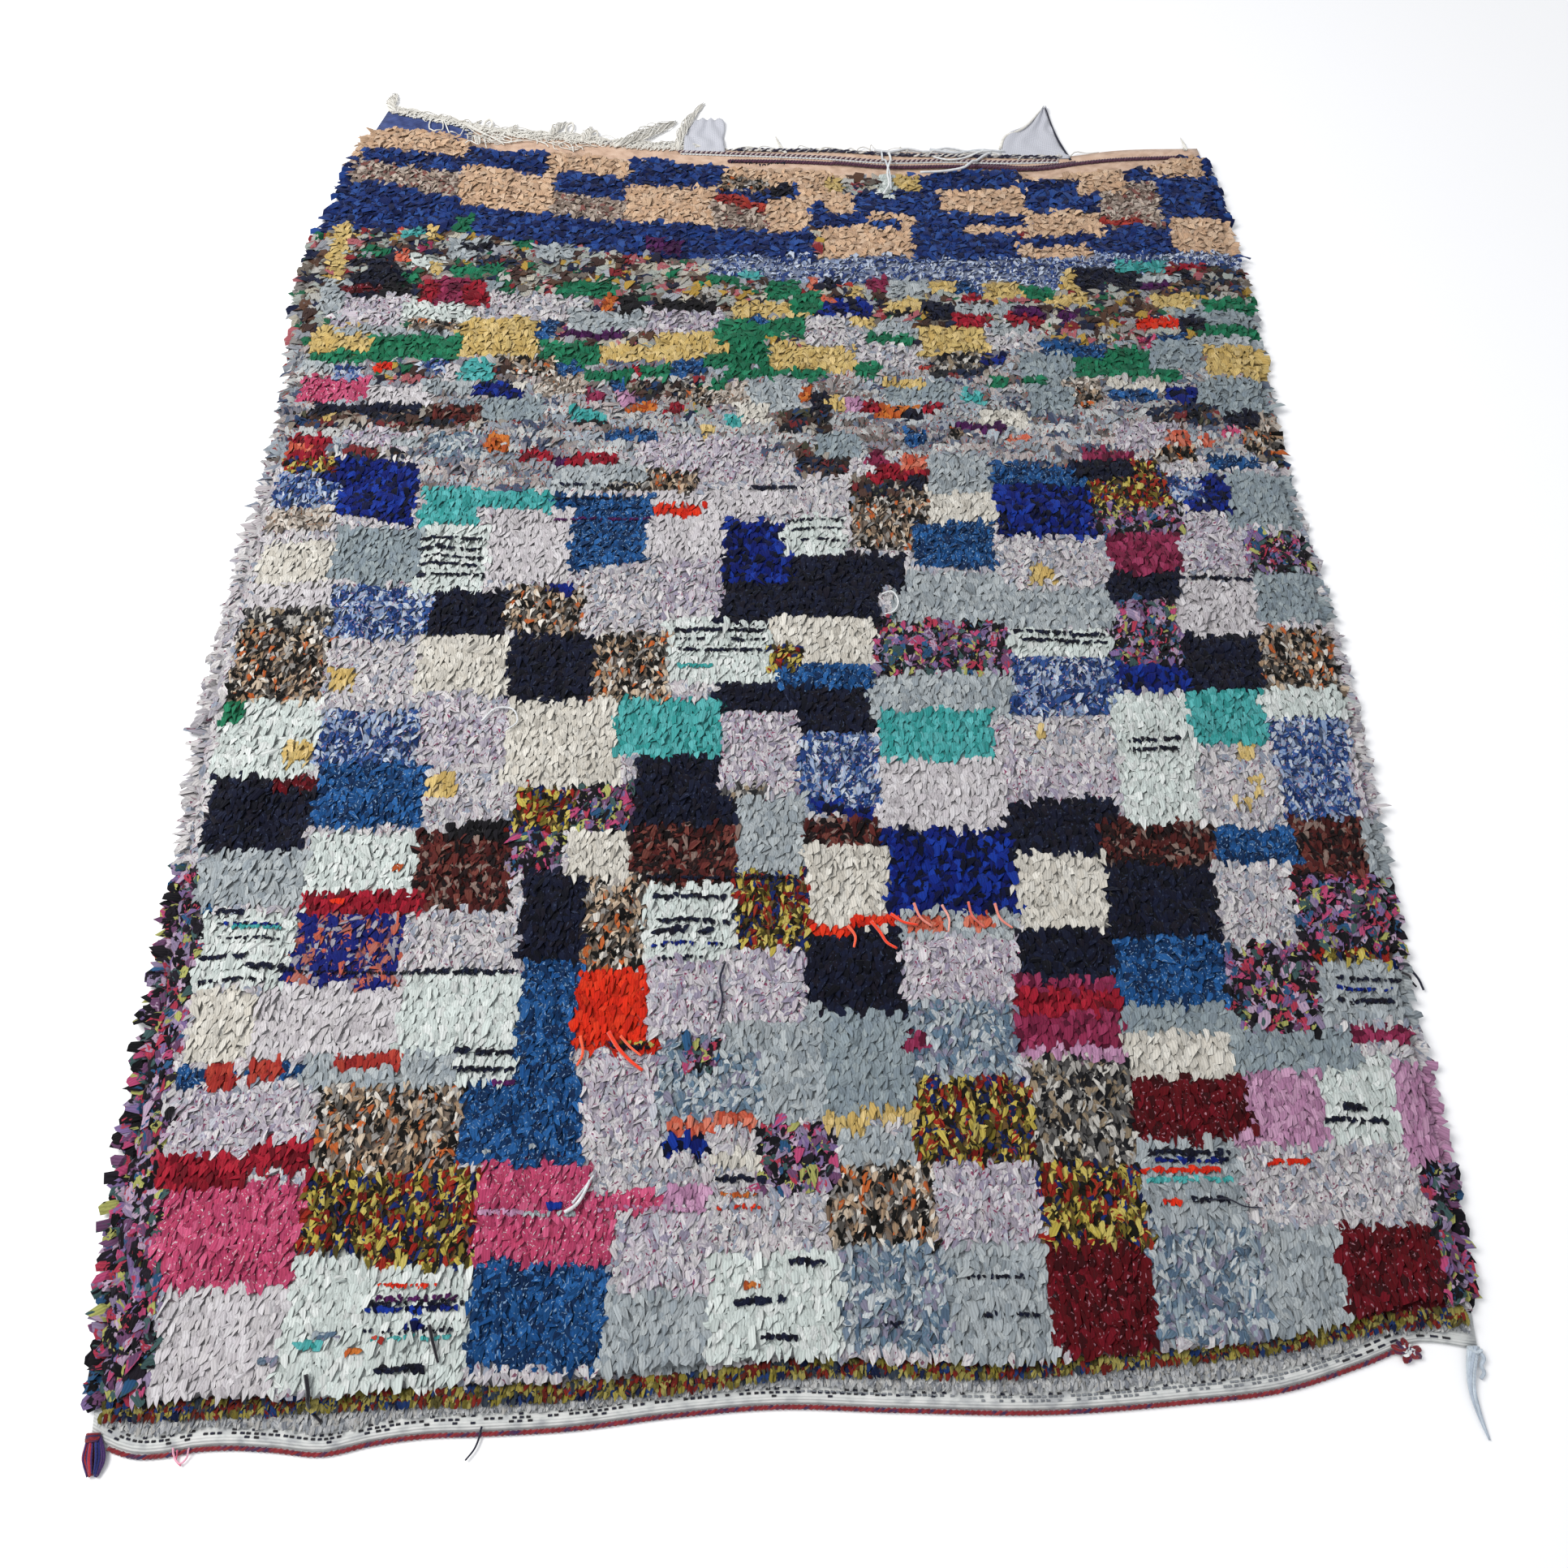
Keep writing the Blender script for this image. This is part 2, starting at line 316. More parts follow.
# The patchwork: for each cloth its blocks as left, right, near and far edge in centimetres on
# the chart, and where a fifth number stands, how much further the right side lies than the left.
# Small blocks lie over large ones.
BLOCKS = {
    "mottle": (
        (-90, 90, -12, 134), (-24, -10, 22.5, 30), (-50, -40, 70, 82), (-50, -36, 50.5, 58.5),
        (54, 64, 54, 65), (-31, -20, 101, 113), (-66.5, -53, 88, 100), (54, 65, 70, 83),
        (30, 44, 80, 87.5), (29, 46, 109, 119.5), (61, 73, 20, 29.5), (0, 8, 122, 130),
        (-10, 3.5, 17, 22), (-54, -35, 163, 170), (1.5, 14, 157, 164), (10, 20, 152, 158),
        (31, 40, 157, 163),
    ),
    "pale_confetti": ((-90, 90, 134, 158), (20, 44, 131, 140), (-60, -25, 135.5, 141), (-58, -37, 126, 134)),
    "confetti": ((-90, 90, 158, 185), (-68, -60, 149.5, 153), (-48, -32, 170, 177), (43, 55, 160, 166),
                 (8.5, 14, 194.5, 199), (-18, -14, 142, 150)),
    "dark_confetti": (
        (-80, -60, 140, 143), (-60, -44, 140.5, 144.5), (-3, 5, 139, 143), (64, 75, 169, 173.5),
        (56, 67, 141, 144.5), (72, 77, 133.5, 135.5), (0, 8, 130, 136), (-55, -47, 175, 179),
        (-70, -61, 133.5, 135.5), (22, 31, 150.5, 155.5), (-49.5, -46.5, 151.5, 155), (8, 17, 126, 130),
        (-30, -16, 146, 149.5), (66, 76, 174, 176),
    ),
    "lilac_mottle": (
        (-75, -58, 28, 35.5), (-26, -17, 30, 40), (-10.5, 0, 76, 88), (-20, -10, 13, 22),
        (13, 28, 46, 56), (-18.5, -9.5, 42, 52), (27, 44, 74, 86), (57, 70, 112, 122),
        (-52, -40, 80, 90), (-20, -11, 104, 114), (16, 28, 18, 27), (-71, -60, 135.5, 139.5),
        (-78, -65, 161, 169.5), (75, 77, 72, 80), (-25, -5, 130, 138), (-9.5, 1, 44, 53),
        (-28, -12, 160.5, 166), (50, 60, 135, 141),
    ),
    "warm_mottle": ((-80, -70, 119.5, 124), (-42, -34, 146.5, 151), (73, 76, 140, 143), (-14, -8, 145, 149),
                    (43, 49, 148, 150)),
    "denim": (
        (-75, -71.5, 36, 38.5), (-68, -66.5, 37, 38), (-62.5, -60, 37, 38.5), (-40, -25, 27, 37),
        (-36.5, -21, 5, 16), (-65, -50, 70.5, 80), (-34.4, -27, 36, 52), (40, 55, 45, 55), (55, 66, 65, 70.5),
        (-37, -22, 112, 126.5), (17.5, 29.5, 113, 121), (-3, 11, 92, 96), (-30, -22, 137, 139.5),
        (27, 30, 170, 172.5), (40, 50, 155, 158.5), (-43, -39.5, 159, 163), (-20, -15, 150.5, 154),
        (-39, -35, 151, 153.5), (50, 58, 145, 148), (59, 64, 158.5, 160), (-8, -5, 162, 164.5),
        (30, 45, 128, 132.5), (-30, -27.5, 147, 149.5), (17, 20, 136, 139), (64, 72, 131.5, 134),
    ),
    "brick": ((-71.5, -68, 35.5, 39), (-66.5, -62.5, 36.5, 39.3), (-56.5, -48, 38, 40),
              (-14.5, -5, 192, 194.5, -2.8), (53, 60, 186, 188), (-70, -68.5, 184, 186),
              (7, 8.5, 170, 172), (20, 22.5, 152, 153.5)),
    "ash_white": (
        (-60, -41, 36, 40), (-10, 3, 34, 46), (-5, 3.5, 32, 40), (5, 14, 27, 31), (-21.5, -10, 4.5, 13.5),
        (17, 28.5, 6, 18), (53, 61.5, 8.5, 20), (40, 52, 20, 29.5), (-78, -64, 59, 67), (-8, 1, 64, 75),
        (75, 78, 63, 72), (65, 77, 44, 52), (30, 46, 102, 109),
        (10, 30, 87, 94.5), (14, 30, 103, 112), (-60, -52, 147, 150), (-38, -23, 127, 132.5),
        (-76, -57, 160, 161.5), (-80, -72, 152, 154), (65, 77, 157.5, 160), (15, 22, 169, 173),
        (58, 65, 172, 174), (25, 38, 164, 167), (-80, -76, 164, 173), (13, 28, 55, 58.5),
        (-8, 1, 143, 150), (20, 30, 127, 134), (-38, -25, 161.5, 166), (-45, -38, 177, 181),
        (11, 20, 159.5, 163), (32, 38, 160, 162.5), (-60, -53, 178, 183), (-4, 0, 149, 151),
        (-64, -59, 136, 138.5),
    ),
    "camel_print": (
        (-57, -40, 26, 36), (3.5, 17, 18, 27), (-29, -19.5, 51, 64),
        (-43, -31, 101, 109.5), (-80, -66.5, 90, 102), (-29, -18, 90, 101), (8, 20, 116, 130),
        (66, 77, 92, 102), (-23, -15, 127, 131), (44, 49, 144.5, 148), (56, 62, 133, 136),
        (-64.5, -56, 161, 163.5), (-46.5, -39, 150.5, 155), (70, 76.5, 135, 140), (-14, -5, 194.5, 198.5),
        (24, 27, 137.5, 140), (-19.5, -14, 144, 149),
    ),
    "charcoal_print": ((28, 40, 27, 40), (-80, -67, 102, 105.5), (-10, -4, 74.5, 76.5),
                       (23, 31, 152, 156), (-30, -23, 127, 128.8)),
    "mint": (
        (-41, -34, 36.5, 40), (-57, -36.5, 3, 17), (-10, 5, 6, 17.5), (62, 71.5, 29.5, 40),
        (-64, -50, 61, 69.5), (-76, -64, 48.5, 58.5), (-80, -66, 77, 90), (-49, -34, 40, 50.5),
        (-19.5, -8, 51.5, 62.5), (44, 55, 80, 91), (-57, -46, 108, 120.5), (-2, 7.5, 115, 122),
        (-19, -3, 93, 103.5), (30, 45, 97, 101.5), (-66, -54, 162.5, 168), (14, 17, 193, 199),
        (-66, -60, 175.5, 178.5), (43.5, 54, 70.5, 80), (65, 77, 87, 92),
    ),
    "crimson": (
        (-75, -64, 24, 28), (-64, -57, 26, 29.5), (-64, -48, 58, 61), (-43, -38, 133.5, 135.3),
        (-38, -28, 132.3, 134.3), (11, 17, 128.5, 130.5), (26, 32, 161.5, 164.5), (27, 40, 45, 48),
        (-64, -60, 168, 172.5), (-56, -51.5, 166.5, 172.5), (13, 20, 129, 132.5), (20, 23, 143, 145),
        (-80, -73, 134, 138.5), (10, 13.5, 143, 145.5), (27, 31, 167.5, 169.5), (-27, -25, 150.5, 152.5),
        (34.5, 41, 162, 165), (63, 70, 175, 176.5), (-21, -18, 142.5, 145),
    ),
    "rose": ((-73, -57, 13.5, 25), (-37, -21, 15.5, 27), (-24, -15.5, 22, 23.7), (-80, -68.5, 145.5, 151),
             (66.5, 69.5, 138.3, 139.8), (56, 58.5, 157, 159)),
    "olive_print": (
        (-57, -37, 17, 26.5), (-49, -37, 15.5, 17), (14, 28, 27, 37), (27.5, 40.5, 18, 27),
        (-38, -30, 70, 76.5), (-8, 1.5, 53, 64), (45, 57, 124, 131), (-4, 1, 95, 99.5), (65, 76, 51.7, 53.5),
        (-80, -71, 130.5, 134), (52, 56, 131, 133.5),
    ),
    "blush": (
        (-71, -57, 2, 13.5), (-67, -49, 39.5, 49), (-80, -68, 105.5, 110), (-22.5, -11, 114, 123),
        (-22, -2, 123, 127), (11, 28, 70, 81.5), (55, 67, 101, 110), (-46, -34, 110, 124),
        (-69, -58, 144.5, 148.5), (-57, -54.5, 149, 153),
    ),
    "cream": (
        (-75, -67, 39, 48), (-30, -22, 63, 70.5), (0, 12, 56, 68), (28.5, 40, 56, 66.5), (40, 54, 37, 42.5),
        (-80, -69, 110, 117.5), (-54, -41, 91, 100.5), (-40, -24, 76, 90), (20, 30, 121, 130),
        (-4, 11, 96, 104), (29, 37, 140, 144), (-10, -4, 141, 145), (50, 60, 148, 150), (-10, -4, 26, 28.5),
        (-46, -42, 148, 149.5),
    ),
    "wine": ((27.5, 40, 6.5, 19), (40, 55, 29, 37), (61.5, 72.5, 10, 20), (-78, -70, 170, 171.5),
             (-71, -65, 76, 78)),
    "baby_pink": ((-15.5, -10, 22, 24.5), (54, 63, 29.5, 38), (52, 62, 29, 30.5), (71.5, 77, 27, 39),
                  (27, 40, 39.5, 41), (7, 10, 143, 146), (-29, -26, 145, 147)),
    "steel_print": (
        (-17, -10, 31, 42), (-10, -4, 33, 40), (14, 27, 37, 47), (5, 17, 7, 18), (40, 53, 8, 20.5),
        (-58, -49, 133.5, 139),
    ),
    "pale_blue": (
        (3, 14, 32.5, 45), (40, 54, 42.5, 46), (65, 75.5, 120, 131), (62, 76, 126, 131), (67, 77, 103, 112),
        (36, 45, 150, 155.5), (37, 44, 143, 150), (64, 75.5, 142, 150), (57.5, 66, 152, 158.5),
        (-52, -40, 141.5, 146), (14, 25, 145, 150), (63, 76, 161.5, 166.5), (3, 10, 134, 139),
        (-69, -56, 110, 120), (53, 68, 38, 43), (-52, -50, 169.5, 173),
    ),
    "coral": ((-15, -10, 30.3, 32), (-10, -5, 31, 33), (14, 19, 55.5, 57.5), (21, 25, 56, 58),
              (58, 61, 136, 139), (63, 65, 136, 138.5), (33, 36, 137, 138.5), (2, 3.5, 170.5, 173),
              (16, 20, 131, 134), (-69, -66.5, 176.5, 179.5), (-80, -76, 135, 137), (4, 6, 167, 169)),
    "orange_red": ((-27.4, -16.9, 40.4, 50.8), (1.5, 7, 55, 56.7), (7, 13, 56.3, 58.3),
                   (-22, -14, 122.5, 125),
                   (56, 63, 161, 163.5), (-68.5, -65.5, 151.5, 153.5)),
    "orange": ((-48.5, -45, 135, 138.5), (-27, -22, 143, 145.5), (0.5, 2, 145, 148.5), (12, 19, 141.5, 144.5),
               (-32.5, -30.5, 166, 169.5)),
    "floral": (
        (-14, -10, 38, 41.5), (-5, 4.5, 24, 31.5), (70.8, 78, 12, 28), (-30, -22, 70, 77), (-38, -31, 64, 70),
        (64, 77, 53, 64), (54, 65, 42, 54), (45, 58, 118, 125), (67, 76, 112, 119), (45, 56, 96, 107),
        (11, 30.5, 93, 104), (-86, -70.5, 1, 9), (-86, -71.5, 9, 16), (-86, -73, 16, 26),
        (-86, -74.5, 26, 33),
        (-86, -75.5, 33, 65),
    ),
    "mustard": (
        (3.5, 8, 30.5, 32.5), (7.5, 14.5, 32, 33.5), (-70, -66, 80, 83), (-80, -70, 156, 162),
        (-56.5, -42.5, 155, 163.5), (-32, -25, 153.5, 158), (-30, -15.5, 153.5, 158),
        (-23.5, -11.5, 156, 160.5),
        (-4.5, 9.5, 151.5, 158), (20, 31.5, 155, 161.5), (66.5, 77, 150.5, 157.5), (-10.5, 1.5, 164, 167.5),
        (15, 22.5, 164.5, 168.5), (22.5, 27, 170, 172.5), (8.5, 13, 162, 164.5), (31.5, 38, 168, 172),
        (42, 49, 166.5, 169.5), (45, 47.5, 170, 174.5), (59.5, 66.5, 166, 169.5), (14, 20, 148.5, 150),
        (5, 7.5, 143.5, 146), (-80, -77, 171, 187), (-64, -62.5, 183, 186), (-63, -60.5, 174.5, 177.5),
        (9, 11, 168, 171), (5, 8.5, 195.5, 198.5), (17, 22, 194.5, 199), (-75.5, -74, 141, 143),
        (-15, -13, 137.5, 140), (-50, -46, 75, 78), (-66, -62, 92, 95), (34, 38, 110, 113),
        (60, 62.2, 80, 83), (61.3, 62.8, 75.5, 78), (58.5, 60.4, 73, 74.6), (33, 34.6, 84, 86),
    ),
    "navy": (
        (-79, -65, 67, 78), (-35.4, -27.3, 52, 64), (-22, -8, 70, 82), (0, 13.5, 44, 56), (28, 43, 66, 74.5),
        (40, 55, 54.5, 65), (28, 40, 49.5, 56), (-53, -42.5, 100.5, 108.5), (-41, -29, 90, 101),
        (-1, 16, 109, 115.5), (-12, 12, 103, 110), (-11.5, 11, 85, 93.5), (45.5, 56, 107, 112),
        (55, 67, 91.5, 101.5), (42.5, 52, 129.5, 133), (-76, -64.5, 169, 175), (-77, -60, 142.8, 145),
        (16, 20, 141, 143.5), (21, 26, 163, 167.5), (50, 58, 172, 175), (54, 58, 170, 173), (5, 7, 170, 173),
        (63.5, 67.5, 161, 164), (68, 73, 140, 143), (-58, -52, 180, 182), (-4.5, -1, 193.5, 196.5),
        (2, 5, 142.5, 147), (17, 19.5, 127.5, 130), (65, 67, 172, 175), (-73, -68, 175, 178),
        (-77, -73, 176, 177.5), (47, 51, 170, 175),
    ),
    "black": ((-30, -25, 165, 169.5), (-24, -13.5, 165, 167.7), (14.5, 19, 164, 165.5), (-47, -38, 69, 71),
              (-70, -65, 169, 172), (-35, -30, 140, 141), (-64, -62, 142, 143.5)),
    "turquoise": (
        (-25, -10.5, 81, 90), (11.5, 27, 80.5, 88.5), (-57, -48, 120.5, 127.5), (-48, -37, 123.5, 127),
        (54, 65, 83, 91.5), (-54.5, -49, 150, 154), (26.5, 30, 145, 148), (-36, -30.5, 141, 143.5),
        (-11.5, -9, 140, 142.5), (-68, -65, 183, 185.5), (54, 63, 174.5, 177), (-9.5, -6.5, 172.5, 175),
    ),
    "maroon_print": ((-50, -37, 59, 70), (-22, -8, 62, 71), (1, 11, 67.5, 71.5), (40, 55, 65, 71),
                     (65, 75, 63.5, 72), (-58, -50, 141.5, 144.5)),
    "blue_print": ((-66, -50, 80, 88), (0.5, 11, 73, 85), (64, 76, 72, 87), (-80, -70, 124, 131),
                   (-68, -53, 100, 109.5), (30, 46, 87.5, 97), (-61.5, -57, 151, 154),
                   (57, 62, 125, 130), (-75, -70, 150, 153)),
    "royal": (
        (-16, -10.5, 28, 30), (11, 29, 58, 70.5), (-70, -58, 122.5, 134, -2), (-12.5, -1, 110, 121.5),
        (30, 45, 118.5, 129), (59, 66, 123, 130), (45.5, 55, 91.5, 96), (2, 6, 72, 74.5), (6, 10, 71.5, 73),
        (-52, -44, 146.3, 149.5), (-36, -33, 108, 110), (59, 64, 145, 148.5), (2.5, 12.5, 164, 168),
        (30, 34, 153, 155.5), (-44, -41.5, 9, 10), (-73, -66, 129, 134, -2),
    ),
    "royal_coral": ((-64, -50, 48.5, 58),),
    "raspberry": ((27, 40, 41, 49.5), (46.5, 57, 112, 119), (-61, -55.5, 167, 173), (-34, -31, 144.5, 147.5),
                  (44.5, 52, 133, 135), (11, 13.5, 131.5, 135), (12, 15.5, 170, 173), (68, 75, 41.5, 43.5),
                  (13, 16, 40.5, 42.5), (-65.5, -63, 179.5, 182)),
    "green": (
        (-80, -67, 153.5, 156), (-70, -55, 154, 160), (-42, -31.5, 152.5, 158.5), (-13, -5, 158, 164),
        (-5, 1.5, 159, 163.5), (-15, -5, 153, 160), (43, 58, 150.5, 157), (57, 62, 150, 152),
        (-12, 5, 150.3, 152.5), (9.5, 13.5, 150, 153), (-25, -20, 150, 153), (-30, -27, 150, 152),
        (-14, -11, 148, 150.5), (-34, -27, 149, 152), (11.5, 19, 157.5, 159.7), (67.5, 77, 159.8, 162),
        (68, 76.5, 165.5, 168.5), (-5.5, 1, 168.5, 172.5), (-1, 4.5, 164.5, 170), (-16, -9.5, 171, 173),
        (-41, -30, 169, 172.5), (38, 43, 168, 171), (36, 40, 148.5, 150), (31, 34, 148, 150),
        (-75, -70, 178.5, 180.5), (-59.5, -56.5, 184, 188.5), (-59, -50, 173.5, 176.5),
        (-48.5, -45, 180, 182),
        (-22, -20, 173, 176), (-57, -50, 174, 175.5), (-67, -64, 172, 174), (-80, -77, 86, 90),
    ),
    "violet": ((-38.5, -29, 159, 161.5), (36, 41.5, 164.5, 166.5), (43, 47, 163, 166), (56, 63, 170, 172.5),
               (25, 33, 139, 141), (-26, -20, 179, 182.5), (-38, -36, 132.5, 134.5)),
    "marl": ((-15, 2, 172.5, 179), (0, 52, 171.5, 178.5), (50, 78, 173.5, 179, 2.5), (30, 44, 168, 172)),
    "peach": (
        (-77, -60.5, 206, 214, -3), (-60, -43, 191.5, 201.5, -2.5), (-45, -30, 198.5, 207, -1),
        (-30.5, -14.5, 187, 197, -1), (-14, 10, 196, 203), (-5, 2.5, 184.5, 193), (0, 10, 188.5, 198),
        (12, 21, 186, 188.5), (4, 20, 178, 186), (23, 40, 189, 197), (29, 40, 184, 186),
        (39.5, 53, 183, 189.5), (38, 51, 178, 181.5), (50, 58.5, 194, 202), (62, 73, 198.5, 204),
        (65, 76, 180, 188.5), (10, 21, 198.5, 203), (40, 52, 197.5, 202), (-30, -14, 203.5, 206),
    ),
    "deep_blue": (
        (-90, 90, 185, 205), (-79, -60, 203, 206.5, -2.5), (-86, -60, 188.5, 198.5, -4.5),
        (-60, -30, 184.5, 192.5, -6), (-30, 3, 178.5, 187, -1.5), (-59.5, -44.5, 200.8, 207),
        (-43, -30, 194.5, 200, -1), (-30, -13, 197, 203.7, -0.6), (10, 25, 188.5, 196), (2.5, 5.5, 187, 192),
        (5, 10.5, 185.5, 188), (21.5, 39, 195.5, 201), (12.5, 18.5, 184.8, 186.6), (20, 38, 177.5, 188),
        (30, 40, 185.5, 189), (40, 53, 189, 197.5), (38, 53, 181, 183.3), (51, 65, 179, 185.5),
        (59, 64, 197, 200.5), (64, 77, 187.5, 198.5),
    ),
    "rose_brown": ((-80, -60, 198, 204.5, -5), (-43, -30, 188.5, 194.5, -1.5), (-15, -5, 185.5, 191.5),
                   (51.5, 64, 185, 197)),
}


# Thin rows of short ends in the pale cloths: left and right end and place along, in centimetres,
# and the width of one end in metres
STRIPES = {
    "navy": (
        (-74.5, -71, 58.2, 0.007), (-75.5, -69, 52.0, 0.006), (-69, -63, 50.7, 0.006),
        (-48.5, -35, 50.5, 0.005),
        (-75, -66, 49.0, 0.004), (-74, -65, 54.6, 0.003), (-18.5, -10.5, 55.7, 0.008),
        (-18.5, -9, 60.3, 0.007),
        (-18, -8.5, 57.1, 0.005), (-18, -11, 52.2, 0.004), (-56.5, -47, 118.0, 0.006),
        (-56.5, -47, 116.3, 0.006),
        (-56, -46.5, 114.7, 0.004), (-56, -47.5, 113.3, 0.005), (-56, -46, 111.3, 0.006),
        (-18, -4, 101.5, 0.006),
        (-17.5, -4.5, 100.0, 0.004), (-17, -5, 98.3, 0.005), (45.5, 53, 83.5, 0.007), (45, 52, 82.0, 0.006),
        (31, 44, 101.0, 0.006), (32, 44.5, 99.7, 0.005), (-48, -37, 11.9, 0.004), (-48, -38, 9.0, 0.003),
        (-46, -41, 5.0, 0.007), (-1, 3, 16.0, 0.006), (-7, -1, 12.0, 0.006), (-4, 0, 8.3, 0.006),
        (-9.5, -3.5, 25.3, 0.006), (54.5, 67, 110.5, 0.005), (-37, -25, 128.2, 0.004),
        (-37, -26, 125.8, 0.003),
        (-7, 1, 127.5, 0.007), (41, 51, 28.2, 0.006), (45.5, 50, 22.8, 0.006), (65, 67.5, 33.5, 0.007),
        (62.5, 70, 32.0, 0.005), (66, 76, 49.5, 0.004), (67, 74, 46.6, 0.005), (-1.5, 7, 121.0, 0.004),
        (-1.5, 7, 119.4, 0.004), (-1, 7, 117.4, 0.004), (-65, -36, 50.3, 0.003), (-20, 0, 62.9, 0.004),
        (-41.6, -34.2, 40.1, 0.007), (-41.4, -34.4, 38.0, 0.006), (-23, -18, 40.4, 0.006),
        (9, 12, 9.6, 0.004), (20, 27, 10.4, 0.003), (19, 26, 14.2, 0.003), (-12, -2, 202.0, 0.004),
    ),
    "olive_print": ((-23.4, -17.6, 40.9, 0.006),),
    "royal": ((-28.7, -27.3, 22.3, 0.007), (-48, -37.5, 11.3, 0.006), (-18.5, -9.5, 54.1, 0.004),
              (41.5, 51, 27.3, 0.005), (-74, -66, 56.5, 0.004), (66, 75, 48.2, 0.004)),
    "turquoise": ((-72, -65.5, 56.2, 0.005), (40.5, 50.5, 25.0, 0.005), (-56.5, -52.5, 7.5, 0.008),
                  (-17, -12, 95.7, 0.006), (-47, -38, 8.2, 0.003)),
    "orange_red": ((40, 49.5, 26.1, 0.006), (42, 44.5, 22.4, 0.006), (-60, -58, 59.8, 0.008),
                   (-10, -4, 22.2, 0.003), (55, 60, 27.0, 0.005), (-47, -40, 13.8, 0.003)),
    "orange": ((-49.5, -48, 7.0, 0.007), (-52.5, -50.5, 64.0, 0.008), (-6, -4, 13.7, 0.006),
               (-9, -4, 23.6, 0.004)),
    "violet": ((-37.2, -34, 36.5, 0.006), (-47, -38, 12.4, 0.004), (-37, -22, 121.7, 0.004)),
    "ash_white": ((-37, -35.6, 28.2, 0.004), (-31.4, -30.4, 28.8, 0.005), (-32, -28, 21.2, 0.004),
                  (-27.5, -25.6, 21.3, 0.005)),
    "baby_pink": ((-37, -31.5, 21.3, 0.005), (-23, -10.5, 21.9, 0.004)),
    "steel_print": ((-58.6, -56.6, 6.2, 0.009), (-53.4, -50.6, 8.4, 0.008)),
    "brick": ((-46.8, -45.6, 8.2, 0.008),),
}


def linear(hex_colour):
    """An sRGB hex colour as linear numbers."""
    parts = [int(hex_colour[i:i + 2], 16) / 255 for i in (1, 3, 5)]
    return tuple(p / 12.92 if p <= 0.04045 else ((p + 0.055) / 1.055) ** 2.4 for p in parts)


def smooth_between(places, values, at):
    """Read a table smoothly at many places: a cubic through its points, held at both ends."""
    places = np.array(places)
    values = np.array(values)
    at = np.clip(at, places[0], places[-1])
    slopes = np.gradient(values, places)
    i = np.clip(np.searchsorted(places, at, side="right") - 1, 0, len(places) - 2)
    span = places[i + 1] - places[i]
    share = (at - places[i]) / span
    square = share ** 2
    cube = share ** 3
    return ((2 * cube - 3 * square + 1) * values[i] + (cube - 2 * square + share) * span * slopes[i]
            + (3 * square - 2 * cube) * values[i + 1] + (cube - square) * span * slopes[i + 1])


def end_line(table, across):
    return smooth_between([p.across for p in table], [p.along for p in table], across)


def side_line(side, share):
    return smooth_between([p.share for p in SIDES], [getattr(p, side) for p in SIDES], share)


# The chart's place in the frame, from the far left corner and the left flap's near corner
CHART_SHIFT = np.array([
    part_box("warp_flap_left")[0].x - LEFT_FLAP_START,
    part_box("rug")[1].y - FAR_CORNER_ALONG,
])


def cloth_place(u, v):
    """Plan place in the frame of the cloth's points, u from left to right and v from near to far."""
    u = np.asarray(u, float)
    v = np.asarray(v, float)
    near_y = end_line(NEAR_END, SIDES[0].left + (SIDES[0].right - SIDES[0].left) * u)
    far_y = end_line(FAR_END, SIDES[-1].left + (SIDES[-1].right - SIDES[-1].left) * u)
    left_x = side_line("left", v)
    right_x = side_line("right", v)
    x = left_x + (right_x - left_x) * u
    y = near_y + (far_y - near_y) * v
    return x + CHART_SHIFT[0], y + CHART_SHIFT[1]


def chart_place(x, y, height):
    """Where the photo shows a point of that height, in centimetres on the chart."""
    spread = 1.0 / (1.0 - height / EYE_HEIGHT)
    return (x - CHART_SHIFT[0]) * spread * 100, (y - CHART_SHIFT[1]) * spread * 100


def cloth_numbers(across, along):
    """The number of the cloth at each place of the chart."""
    blocks = [(name, block) for name, blocks in BLOCKS.items() for block in blocks]
    blocks.sort(key=lambda item: -(item[1][1] - item[1][0]) * (item[1][3] - item[1][2]))
    found = np.zeros(len(across), int)
    for name, (left, right, near, far, *rise) in blocks:
        tilt = (rise[0] if rise else 0.0) * np.clip((across - left) / (right - left), 0, 1)
        inside = (across >= left) & (across < right) & (along >= near + tilt) & (along < far + tilt)
        found[inside] = CLOTH_NUMBER[name]
    return found


def add_node(tree, kind, settings=None, links=None):
    """Add a node with its settings and with links from the given sockets."""
    node = tree.nodes.new(kind)
    for name, value in (settings or {}).items():
        if name == "stops":
            while len(node.color_ramp.elements) < len(value):
                node.color_ramp.elements.new(1.0)
            for element, (place, colour) in zip(node.color_ramp.elements, value):
                element.position = place
                element.color = (*colour, 1.0)
        elif name == "interpolation":
            node.color_ramp.interpolation = value
        elif isinstance(name, int) or name in node.inputs:
            node.inputs[name].default_value = value
        else:
            setattr(node, name, value)
    for name, source in (links or {}).items():
        tree.links.new(source, node.inputs[name])
    return node


def new_material(name, roughness, sheen):
    material = bpy.data.materials.new(name)
    material.use_nodes = True
    shader = material.node_tree.nodes["Principled BSDF"]
    shader.inputs["Roughness"].default_value = roughness
    shader.inputs["Specular IOR Level"].default_value = 0.12
    shader.inputs["Sheen Weight"].default_value = sheen
    shader.inputs["Sheen Roughness"].default_value = 0.5
    return material, material.node_tree, shader


def even_stops(colours):
    return [(k / len(colours), linear(colour)) for k, colour in enumerate(colours)]


# Threads of the rag cloths, drawn at 1.1 mm where real ones are 0.3 mm, so that they show
THREAD_PITCH = 0.0011
# Fine folds that run down each rag
CREASE_PITCH = 0.0036
WAVE_PERIOD_AT_SCALE_ONE = 0.314


